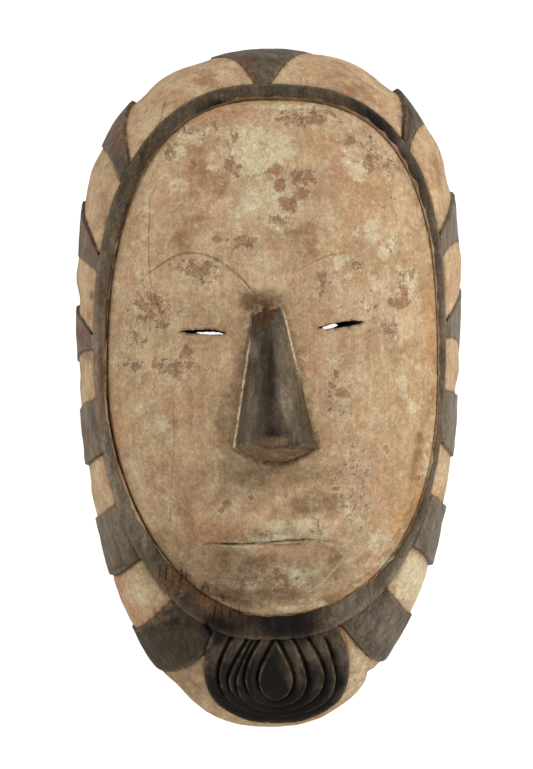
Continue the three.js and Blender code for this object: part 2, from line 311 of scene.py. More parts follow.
@dataclass(frozen=True)
class Block:
    """A dark block of the side band, between two edges that run from the back rim to the ridge.

    The angles are in degrees. The raise is how far the block stands proud at its first and second edge.
    """

    name: str
    rim: tuple[float, float]
    ridge: tuple[float, float]
    raise_by: tuple[float, float]
    bow: tuple[float, float] = (0.0, 0.0)
    swell: float = 0.0

    def edge(self, side: int, s: Array) -> Array:
        """Return the angle in radians of one edge at each share of the way from ridge to rim."""
        straight = mix(self.ridge[side], self.rim[side], s)
        return np.radians(straight + self.bow[side] * np.sin(math.pi * s))

    def shares(self, angle: Array, s: Array) -> tuple[Array, Array, Array]:
        """Return each place's angle past the first edge, past the second, and the block's width there."""
        first = self.edge(0, s)
        width = self.edge(1, s) - first
        past = np.mod(angle - first + math.pi, TURN) - math.pi
        return past, past - width, width


BLOCKS = (
    Block("crown wedge", (82.0, 100.5), (90.0, 92.4), (0.5, 0.5), (0.6, -1.0), 1.9),
    Block("right 1", (57.0, 65.3), (57.0, 59.0), (0.4, 2.2), (1.0, 0.0)),
    Block("right 2", (33.0, 43.5), (32.0, 37.0), (0.4, 1.9), (1.4, 0.0)),
    Block("right 3", (4.0, 21.8), (9.0, 13.5), (0.5, 1.4), (1.8, 0.0)),
    Block("right 4", (333.5, 350.8), (336.0, 351.2), (1.7, 1.2)),
    Block("right 5", (308.8, 320.6), (308.5, 320.8), (2.6, 2.2), (0.8, 0.5)),
    Block("right 6", (292.2, 299.6), (285.6, 297.5), (0.9, 1.6)),
    Block("left 1", (117.0, 127.0), (125.0, 128.6), (2.0, 1.6), (0.4, -0.8)),
    Block("left 2", (138.2, 150.0), (147.6, 151.4), (1.9, 0.8), (0.0, -0.8)),
    Block("left 3", (162.7, 178.8), (170.6, 175.0), (1.6, 1.1), (0.0, -1.4)),
    Block("left 4", (193.5, 208.8), (191.4, 208.0), (1.5, 1.7)),
    Block("left 5", (221.8, 232.7), (222.9, 236.5), (1.6, 2.0)),
    Block("left 6", (242.7, 248.5), (248.2, 260.7), (1.4, 1.8), (-0.3, 0.0)),
)


@dataclass(frozen=True)
class BandSwell:
    """A rise or dip of the pale side band at one angle, strongest near the rim or near the ridge."""

    angle: float
    half_width: float
    rise: float
    starts: float = 0.25
    ends: float = 0.8

    def height(self, angle: Array, s: Array) -> Array:
        """Return the rise at each place of the band, angles in radians."""
        away = np.mod(np.degrees(angle) - self.angle + 180.0, 360.0) - 180.0
        return self.rise * bell(away, self.half_width) * ramp(s, self.starts, self.ends)


BAND_SWELLS = (
    BandSwell(67.5, 3.2, -1.9),
    BandSwell(52.0, 4.5, 0.8, -0.2, 0.2),
    BandSwell(46.5, 3.0, -0.9),
    BandSwell(27.5, 5.0, 0.8, -0.2, 0.2),
    BandSwell(0.0, 5.0, 0.5, -0.2, 0.2),
    BandSwell(353.0, 3.0, -0.9),
    BandSwell(289.0, 3.0, -2.2),
    BandSwell(254.5, 3.0, -1.6),
    BandSwell(270.0, 15.0, 2.3, 0.78, 0.93),
    BandSwell(211.5, 3.0, -0.6),
    BandSwell(182.5, 3.0, -0.7),
    BandSwell(160.5, 3.0, -1.0),
    BandSwell(155.0, 3.0, 0.7, -0.2, 0.2),
    BandSwell(132.0, 4.0, 0.8, -0.2, 0.2),
    BandSwell(115.0, 3.0, -1.2),
    BandSwell(103.5, 3.5, -1.2),
)


@dataclass(frozen=True)
class Nose:
    """A wedge nose: narrow between the brows, broad and high at its cut-off lower end."""

    top: tuple[float, float] = (0.0, 43.0)
    tip: tuple[float, float] = (3.2, -30.0)
    top_half_width: float = 7.4
    tip_half_width: float = 21.4
    top_height: float = 4.0
    tip_height: float = 26.0
    base_drop: float = 9.6
    corner_rise: float = 7.8
    underside_slope: float = 2.5

    def along(self, y: Array) -> Array:
        """Return the share of the way from the top of the nose to its tip."""
        return (self.top[1] - y) / (self.top[1] - self.tip[1])

    def middle(self, y: Array) -> Array:
        """Return the place across the front of the nose's middle line."""
        return mix(self.top[0], self.tip[0], self.along(y))

    def half_width(self, y: Array) -> Array:
        """Return half the nose's width at its foot."""
        return mix(self.top_half_width, self.tip_half_width, np.clip(self.along(y), 0.0, 1.15))

    def base(self, x: Array) -> Array:
        """Return the place along the front of the nose's lower foot."""
        sideways = (x - self.tip[0]) / self.tip_half_width
        return self.tip[1] - self.base_drop + self.corner_rise * sideways**2

    def front(self, x: Array, y: Array) -> Array:
        """Return the height of the front and the two flanks above the face."""
        across = np.clip(np.abs(x - self.middle(y)) / self.half_width(y), 0.0, 1.0)
        height = mix(self.top_height, self.tip_height, np.clip(self.along(y), 0.0, 1.3))
        return height * (1.0 - across**2.0) ** 0.85

    def underside(self, x: Array, y: Array) -> Array:
        """Return the height of the sloping underside above the face."""
        return (y - self.base(x)) * self.underside_slope

    def height(self, x: Array, y: Array) -> Array:
        """Return the nose's height above the face, 0 outside its foot."""
        front = self.front(x, y)
        under = self.underside(x, y)
        soft = 1.6
        blend = np.clip(0.5 + 0.5 * (under - front) / soft, 0.0, 1.0)
        height = mix(under, front, blend) - soft * blend * (1.0 - blend) * ramp(under, 0.0, 6.0)
        starts = ramp(self.top[1] - y, -0.01, 4.0)
        return np.maximum(0.0, height) * starts

    def outline(self) -> Array:
        """Return the foot of the nose as a closed row of corners."""
        flanks = []
        for side in (-1.0, 1.0):
            y = np.linspace(self.top[1], self.corner(side), 58)
            flanks.append(np.stack([self.middle(y) + side * self.half_width(y), y], axis=1))
        left, right = flanks
        x = np.linspace(left[-1, 0], right[-1, 0], 34)[1:-1]
        return np.concatenate([left, np.stack([x, self.base(x)], axis=1), right[::-1]])

    def corner(self, side: float) -> float:
        """Return how low a flank reaches, where its foot meets the lower foot."""
        low, high = self.tip[1] - 12.0, self.tip[1] + 20.0
        return halve(low, high, lambda y: y < self.base(self.middle(y) + side * self.half_width(y)))

    def crest(self) -> Array:
        """Return the lower edge of the front, where the underside begins."""
        reach = 0.9 * self.tip_half_width
        x = np.linspace(self.tip[0] - reach, self.tip[0] + reach, 40)
        base = self.base(x)
        y = halve(base, base + 14.0, lambda y: self.underside(x, y) < self.front(x, y))
        return np.stack([x, y], axis=1)


@dataclass(frozen=True)
class Leaf:
    """A thin leaf-shaped outline in the front view."""

    x: float
    y: float
    length: float
    height: float
    tilt: float
    ragged: float = 0.22

    def loop(self) -> Array:
        """Return the outline as a closed row of corners, anticlockwise."""
        upper = ((1.0, 0.0), (0.62, 0.5), (0.1, 0.56), (-0.45, 0.36))
        lower = ((-1.0, 0.0), (-0.4, -0.42), (0.2, -0.46), (0.75, -0.3))
        shape = np.array(upper + lower) * (self.length / 2.0, self.height)
        corners = smooth_row(shape, 5, closed=True)
        turn = np.arange(len(corners)) * 2.4
        corners[:, 1] += self.ragged * np.sin(turn) * np.sin(0.37 * turn + 1.0)
        turn = math.radians(self.tilt)
        cos, sin = math.cos(turn), math.sin(turn)
        return corners @ np.array(((cos, sin), (-sin, cos))) + (self.x, self.y)


@dataclass(frozen=True)
class EyeSlit:
    """A slit cut right through the face, shorter where it comes out behind."""

    front: Leaf
    back: Leaf


@dataclass(frozen=True)
class Beard:
    """The dark tab below the chin, cut into nested drop-shaped locks."""

    x: float = 4.7
    y: float = -153.0
    left: float = 39.0
    right: float = 38.4
    up: float = 38.0
    down: float = 31.0
    squareness: float = 2.3
    raise_by: float = 2.6
    middle_x: float = 3.7
    top_y: float = -136.0
    widest_y: float = -158.5
    groove_half_width: float = 1.1
    groove_depth: float = 2.6

    def outline(self, grow: float = 0.0) -> Array:
        """Return the tab's edge as a closed row of corners, grown outward by a distance."""
        turn = np.linspace(0.0, TURN, 200, endpoint=False)
        x, y = np.cos(turn), np.sin(turn)
        reach = (np.abs(x) ** self.squareness + np.abs(y) ** self.squareness) ** (-1.0 / self.squareness)
        right = np.where(x < 0, self.left, self.right) + grow
        up = np.where(y < 0, self.down, self.up) + grow
        return np.stack([self.x + reach * x * right, self.y + reach * y * up], axis=1)

    def beyond_edge(self, x: Array, y: Array) -> Array:
        """Return how far each place lies outside the tab's edge, negative within it."""
        right = np.where(x < self.x, self.left, self.right)
        up = np.where(y < self.y, self.down, self.up)
        dx, dy = (x - self.x) / right, (y - self.y) / up
        level = (np.abs(dx) ** self.squareness + np.abs(dy) ** self.squareness) ** (1.0 / self.squareness)
        reach = np.hypot(x - self.x, y - self.y)
        return reach * (1.0 - 1.0 / np.maximum(level, 1e-6))

    @cached_property
    def grooves(self) -> tuple[CutLine, ...]:
        """The cuts between the locks, from the innermost drop outward, and one short extra cut."""
        loops = (
            ((0.8, 1.2), (9.2, 9.4), -171.0),
            ((7.6, 8.6), (17.3, 18.0), -174.9),
            ((15.2, 18.0), (25.4, 26.6), -178.4),
            ((24.0, 26.6), (31.0, 33.6), -181.6),
        )
        cuts = [self.drop_cut(top, widest, bottom) for top, widest, bottom in loops]
        x, y = self.middle_x, self.widest_y
        upper = ((x - 12.4, self.top_y), (x - 19.0, y + 8.0), (x - 21.4, y))
        extra = (*upper, (x - 20.2, y - 8.0), (x - 15.5, y - 15.0))
        cuts.append(CutLine(extra, self.groove_half_width * 0.8, self.groove_depth * 0.7, 0.9))
        return tuple(cuts)

    def drop_cut(self, top: tuple[float, float], widest: tuple[float, float], bottom: float) -> CutLine:
        """Return one drop-shaped groove: narrow at its top, closed below by half an ellipse."""
        points = []
        for share in np.linspace(-1.0, 1.0, 25):
            side = 0 if share < 0 else 1
            rise = max(0.0, 2.0 * abs(share) - 1.0)
            turn = math.pi * min(0.5, abs(share))
            if rise > 0.0:
                x, y = mix(widest[side], top[side], rise**1.6), mix(self.widest_y, self.top_y, rise)
            else:
                x, y = widest[side] * math.sin(turn), mix(self.widest_y, bottom, math.cos(turn))
            x += 0.55 * math.sin(6.5 * share + bottom)
            points.append((self.middle_x + (x if side else -x), y))
        return CutLine(tuple(points), self.groove_half_width, self.groove_depth, 0.9)


MOUTH = CutLine(
    ((-33.5, -82.5), (-15.0, -82.8), (3.4, -81.4), (16.5, -80.5), (26.0, -80.6), (36.5, -82.6)), 1.3, 1.4
)
BROWS = (
    Streak(
        ((-6.0, 48.0), (-16.1, 59.3), (-29.8, 68.7), (-45.6, 70.6), (-61.9, 61.4), (-69.0, 54.0)),
        0.6, 0.1, strength=0.1,
    ),
    Streak(
        ((8.0, 54.5), (12.5, 59.0), (19.0, 63.2), (28.0, 67.9), (34.0, 69.9), (43.0, 71.3)),
        0.7, 0.16, strength=0.08,
    ),
)
CRACKS = (
    Streak(
        (
            (-63.1, 111.4), (-63.4, 92.4), (-63.7, 76.1), (-63.2, 62.4),
            (-61.9, 53.5), (-57.4, 40.3), (-53.3, 25.6),
        ),
        0.42, 0.2, strength=0.85,
    ),
    Streak(
        ((-51.5, 6.0), (-50.3, -8.0), (-50.0, -30.0), (-51.5, -49.0), (-52.3, -72.0), (-50.0, -83.0)),
        0.36, 0.16, strength=0.8,
    ),
)


@dataclass
class CarvedForm:
    """The solid form of the front: the same named sizes as the CAD solid, with finer relief."""

    level: float = 57.0
    crown_drop: float = 4.0
    crown_reach: float = 150.0
    chin_drop: float = 12.0
    chin_reach: float = 136.0
    above_band: float = 4.5
    above_face: float = 3.0
    band_roundness: float = 1.45
    doming: float = 34.0
    fullness: float = 2.4
    edge_softness: float = 0.85
    wall: float = 9.0
    foot: float = 0.8
    nose: Nose = Nose()
    beard: Beard = Beard()
    slits: tuple[EyeSlit, ...] = (
        EyeSlit(Leaf(-34.5, 29.2, 23.8, 2.5, -2.5), Leaf(-31.1, 28.7, 15.0, 1.4, -3.0)),
        EyeSlit(Leaf(37.5, 32.9, 24.6, 2.8, 8.0), Leaf(32.3, 32.3, 8.4, 2.1, 12.0)),
    )
    mouth: CutLine = MOUTH
    brows: tuple[Streak, ...] = BROWS
    cracks: tuple[Streak, ...] = CRACKS
    chin_swell: float = 4.5
    eye_hollow: float = 2.6
    lobe_swell: float = 0.6
    ridge_flatness: float = 0.75

    def ridge_level(self, y: Array) -> Array:
        """Return the height of the foot of the ridge, which falls towards the crown and the chin."""
        up = np.maximum(0.0, y - FACE_MIDDLE[1]) / self.crown_reach
        down = np.maximum(0.0, FACE_MIDDLE[1] - y) / self.chin_reach
        return self.level - self.crown_drop * up**2 - self.chin_drop * down**2

    def face_dome(self, x: Array, y: Array) -> Array:
        """Return the height of the smooth face without its nose and its cut lines."""
        angle, radius = polar(x, y)
        rho = np.clip(radius / RIDGE_INSIDE.radius(angle), 0.0, 1.0)
        z = self.ridge_level(y) + self.above_band - self.above_face
        z = z + self.doming * (1.0 - rho**self.fullness) ** self.edge_softness
        z = z + self.chin_swell * bell(x - 3.0, 42.0) * bell(y + 78.0, 20.0)
        return z - self.eye_hollow * bell(np.abs(x) - 37.0, 26.0) * bell(y - 18.0, 17.0)

    def brow_swell(self, x: Array, y: Array) -> Array:
        """Return how far the forehead stands proud just above the two brow lines."""
        total = np.zeros_like(x)
        for line in self.brows:
            row = line.path[np.argsort(line.path[:, 0])]
            above = y - np.interp(x, row[:, 0], row[:, 1])
            ends = ramp(x, row[0, 0] - 3.0, row[0, 0] + 9.0) * ramp(-x, -row[-1, 0] - 3.0, -row[-1, 0] + 9.0)
            total += ends * np.clip(above / 0.7, 0.0, 1.0) * bell(above, 15.0)
        return total

    def face_height(self, x: Array, y: Array) -> Array:
        """Return the height of the finished face."""
        z = self.face_dome(x, y) + self.brow_swell(x, y)
        nose = self.nose.height(x, y)
        for line in (*self.brows, *self.cracks):
            z = z - line.depth * line.closeness(x, y) * (nose < 0.3)
        mouth = self.mouth.distance(x, y)
        z = z - self.mouth.depth * np.clip(1.0 - (mouth / self.mouth.half_width) ** 1.4, 0.0, 1.0)
        z = z - 0.7 * bell(mouth, 6.0) * (y < -82.6)
        return z + nose

    def ridge_place(self, angle: Array, q: Array) -> tuple[Array, Array]:
        """Return radius and height on the ridge, for shares of the way over it from face to band."""
        inside, outside = RIDGE_INSIDE.radius(angle), RIDGE_OUTSIDE.radius(angle)
        level = self.ridge_level(spread(angle, outside)[1])
        face_edge = self.face_dome(*spread(angle, inside))
        turn = math.pi * q
        across = 0.5 - 0.5 * np.sign(np.cos(turn)) * np.abs(np.cos(turn)) ** self.ridge_flatness
        radius = mix(inside, outside, across)
        rise = (self.above_band + self.above_face) / 2.0
        return radius, mix(face_edge, level, across) + rise * np.abs(np.sin(turn)) ** 0.7

    def rim_swell(self, angle: Array) -> Array:
        """Return how far each pale lobe swells outward at the rim, between its two blocks."""
        edges = sorted(block.rim for block in BLOCKS)
        swell = np.zeros_like(angle)
        for this, following in zip(edges, [*edges[1:], (edges[0][0] + 360.0, 0.0)]):
            along = np.mod(np.mod(np.degrees(angle), 360.0) - this[1], 360.0) / (following[0] - this[1])
            swell += self.lobe_swell * np.sin(math.pi * np.clip(along, 0.0, 1.0))
        return swell

    def band_smooth(self, angle: Array, s: Array) -> Array:
        """Return places on the side band without its relief, s running from the ridge to the rim."""
        foot = RIDGE_OUTSIDE.radius(angle)
        rim = BACK_RIM.radius(angle) + self.rim_swell(angle) * np.minimum(1.0, s * 3.0)
        turn = math.pi / 2.0 * s
        power = 2.0 / self.band_roundness
        radius = mix(foot, rim, np.sin(turn) ** power)
        z = self.ridge_level(spread(angle, foot)[1]) * np.abs(np.cos(turn)) ** power
        return np.stack([*spread(angle, radius), z], axis=1)

    def band_normal(self, angle: Array, s: Array) -> Array:
        """Return the outward direction of the side band, level at the rim."""
        turn, reach = 0.017, 0.03
        along_angle = self.band_smooth(angle + turn, s) - self.band_smooth(angle - turn, s)
        low, high = np.maximum(0.0, s - reach), np.minimum(1.0, s + reach)
        normal = np.cross(self.band_smooth(angle, high) - self.band_smooth(angle, low), along_angle)
        normal[:, 2] *= np.clip((1.0 - s) / reach, 0.0, 1.0)
        return normal / np.linalg.norm(normal, axis=1)[:, None]

    def band_share(self, angle: Array, radius: Array) -> Array:
        """Return the share of the way from ridge to rim for a radius in the front view."""
        foot, rim = RIDGE_OUTSIDE.radius(angle), BACK_RIM.radius(angle)
        across = np.clip((radius - foot) / (rim - foot), 0.0, 0.995)
        return np.arcsin(across ** (self.band_roundness / 2.0)) / (math.pi / 2.0)

    def block_raise(self, angle: Array, s: Array, radius: Array) -> tuple[Array, Array]:
        """Return the blocks' relief and the distance beyond the nearest block's edge.

        Args:
            angle: Angles in radians.
            s: Shares of the way from ridge to rim.
            radius: Radii there, to turn angles into distances.

        Returns:
            The height above the smooth band, and a distance that is negative within a block.
        """
        height = np.zeros_like(angle)
        beyond = np.full_like(angle, FAR_AWAY)
        for block in BLOCKS:
            past_first, past_second, width = block.shares(angle, s)
            outside = np.maximum(-past_first, past_second) * radius
            beyond = np.minimum(beyond, outside)
            share = np.clip(past_first / width, 0.0, 1.0)
            top = mix(block.raise_by[0], block.raise_by[1], share) + block.swell * np.sin(math.pi * share)
            height = np.maximum(height, top * np.clip(1.0 - outside / self.foot, 0.0, 1.0))
        return height, beyond


class Zone(Enum):
    """The three zones of the unrolled front."""

    FACE = 0
    RIDGE = 1
    BAND = 2


@dataclass
class Sheet:
    """The carved front laid flat around the middle of the face."""

    form: CarvedForm
    ridge_extra: float = 5.0
    band_stretch: float = 1.06

    def ridge_span(self, angle: Array) -> Array:
        """Return how wide the ridge lies on the sheet."""
        return RIDGE_OUTSIDE.radius(angle) - RIDGE_INSIDE.radius(angle) + self.ridge_extra

    def band_span(self, angle: Array) -> Array:
        """Return how wide the side band lies on the sheet."""
        inset = BACK_RIM.radius(angle) - RIDGE_OUTSIDE.radius(angle)
        level = self.form.ridge_level(spread(angle, RIDGE_OUTSIDE.radius(angle))[1])
        return np.hypot(inset, level) * self.band_stretch

    def lay_ridge(self, angle: Array, q: Array | float) -> Array:
        """Return sheet places for shares of the way over the ridge."""
        return self.lay(angle, RIDGE_INSIDE.radius(angle) + self.ridge_span(angle) * q)

    def lay_band(self, angle: Array, s: Array | float) -> Array:
        """Return sheet places for shares of the way down the side band."""
        start = RIDGE_INSIDE.radius(angle) + self.ridge_span(angle)
        return self.lay(angle, start + self.band_span(angle) * s)

    def lay_band_view(self, row: Array) -> tuple[Array, Array]:
        """Lay places of the front view on the sheet, and return whether each is well within the band."""
        angle, radius = polar(*row.T)
        s = self.form.band_share(angle, radius)
        return self.lay_band(angle, s), (radius > RIDGE_OUTSIDE.radius(angle) + 0.4) & (s < 0.97)

    @staticmethod
    def lay(angle: Array, radius: Array) -> Array:
        """Return sheet places at each angle and distance from the middle of the face."""
        return np.stack(spread(angle, radius), axis=1)

    def locate(self, place: Array) -> tuple[Array, Array, Array, Array]:
        """Return the zone, angle, radius and share within its zone of each sheet place."""
        angle, radius = polar(*place.T)
        angle = np.mod(angle, TURN)
        face, span = RIDGE_INSIDE.radius(angle), self.ridge_span(angle)
        q = (radius - face) / span
        s = (radius - face - span) / self.band_span(angle)
        zone = np.where(q < 0.0, Zone.FACE.value, np.where(q < 1.0, Zone.RIDGE.value, Zone.BAND.value))
        share = np.where(q < 0.0, radius / face, np.where(q < 1.0, q, np.clip(s, 0.0, 1.0)))
        return zone, angle, radius, share


class Cutter:
    """Collects the lines and loose places of a flat sheet and cuts it into triangles."""

    def __init__(self) -> None:
        """Start with nothing on the sheet."""
        self.places: list[Array] = []
        self.edges: list[tuple[int, int]] = []
        self.count = 0

    def line(self, row: Array, closed: bool = False) -> None:
        """Add a row of places whose pieces must be kept as edges."""
        self.places.append(row)
        first = self.count
        self.edges += [(first + i, first + i + 1) for i in range(len(row) - 1)]
        if closed:
            self.edges.append((first + len(row) - 1, first))
        self.count += len(row)

    def stretches(self, row: Array, keep: Array) -> None:
        """Add only those stretches of a row whose places are all to be kept."""
        for stretch in np.split(np.arange(len(row)), np.flatnonzero(np.diff(keep)) + 1):
            if keep[stretch[0]] and len(stretch) > 1:
                self.line(row[stretch])

    def fill(self, places: Array, clearance: Array | float) -> None:
        """Add loose places that stand clear of everything on the sheet so far."""
        placed = np.concatenate(self.places)
        tree = kdtree.KDTree(len(placed))
        for i, (x, y) in enumerate(placed):
            tree.insert((x, y, 0.0), i)
        tree.balance()
        wanted = np.broadcast_to(clearance, (len(places),))
        clear = [tree.find((x, y, 0.0))[2] > gap for (x, y), gap in zip(places, wanted)]
        kept = places[np.array(clear)]
        self.places.append(kept)
        self.count += len(kept)

    def cut(self) -> tuple[Array, Array]:
        """Cut the sheet.

        Returns:
            The corners' places, and the triangles as rows of three corner numbers, all anticlockwise.
        """
        placed = [Vector(place) for place in np.concatenate(self.places)]
        corners, _, faces, *_ = delaunay_2d_cdt(placed, self.edges, [], 1, 1e-4)
        places = np.array([tuple(corner) for corner in corners])
        triangles = np.array([face for face in faces if len(face) == 3])
        a, b, c = (places[triangles[:, i]] for i in range(3))
        area = (b[:, 0] - a[:, 0]) * (c[:, 1] - a[:, 1]) - (b[:, 1] - a[:, 1]) * (c[:, 0] - a[:, 0])
        triangles[area < 0] = triangles[area < 0][:, ::-1]
        return places, triangles[np.abs(area) > 1e-7]


def hex_field(low: tuple[float, float], high: tuple[float, float], step: float) -> Array:
    """Return places of an even three-way grid over a rectangle."""
    rows = []
    height = step * math.sqrt(3.0) / 2.0
    for j, y in enumerate(np.arange(low[1], high[1], height)):
        x = np.arange(low[0] + (step / 2.0 if j % 2 else 0.0), high[0], step)
        rows.append(np.stack([x, np.full_like(x, y)], axis=1))
    return np.concatenate(rows)


@dataclass(frozen=True)
class FrontView:
    """What an eye straight above the mask sees, in the pixels of a frame 533 wide and 769 high."""

    eye: tuple[float, float, float] = (-1.12, 1.67, 1500.0)
    middle: tuple[float, float] = (266.5, 384.5)
    focus: float = 2688.17

    def see(self, place: Array) -> tuple[Array, Array]:
        """Return where each place in millimetres appears across and down the frame."""
        reach = self.focus / (self.eye[2] - place[:, 2])
        across = self.middle[0] + (place[:, 0] - self.eye[0]) * reach
        return across, self.middle[1] - (place[:, 1] - self.eye[1]) * reach


@dataclass(frozen=True)
class Oval:
    """An oval spot in the front view, given by its four sides there before it is tilted."""

    left: float
    top: float
    right: float
    bottom: float
    amount: float = 1.0
    tilt: float = 0.0

    def away(self, across: Array, down: Array) -> Array:
        """Return how far out each place lies, 0 in the middle and 1 on the oval's edge."""
        turn = math.radians(self.tilt)
        dx, dy = across - (self.left + self.right) / 2.0, (self.top + self.bottom) / 2.0 - down
        wide = (dx * math.cos(turn) + dy * math.sin(turn)) * 2.0 / (self.right - self.left)
        high = (dy * math.cos(turn) - dx * math.sin(turn)) * 2.0 / (self.bottom - self.top)
        return np.hypot(wide, high)

    def density(self, across: Array, down: Array) -> Array:
        """Return the oval's amount in its middle, fading smoothly past its edge."""
        return self.amount * np.exp(-0.85 * self.away(across, down) ** 3)

    def hollow(self, across: Array, down: Array) -> Array:
        """Return how deep a dent of this shape is."""
        return self.amount * np.clip(1.25 - self.away(across, down), 0.0, 1.0)


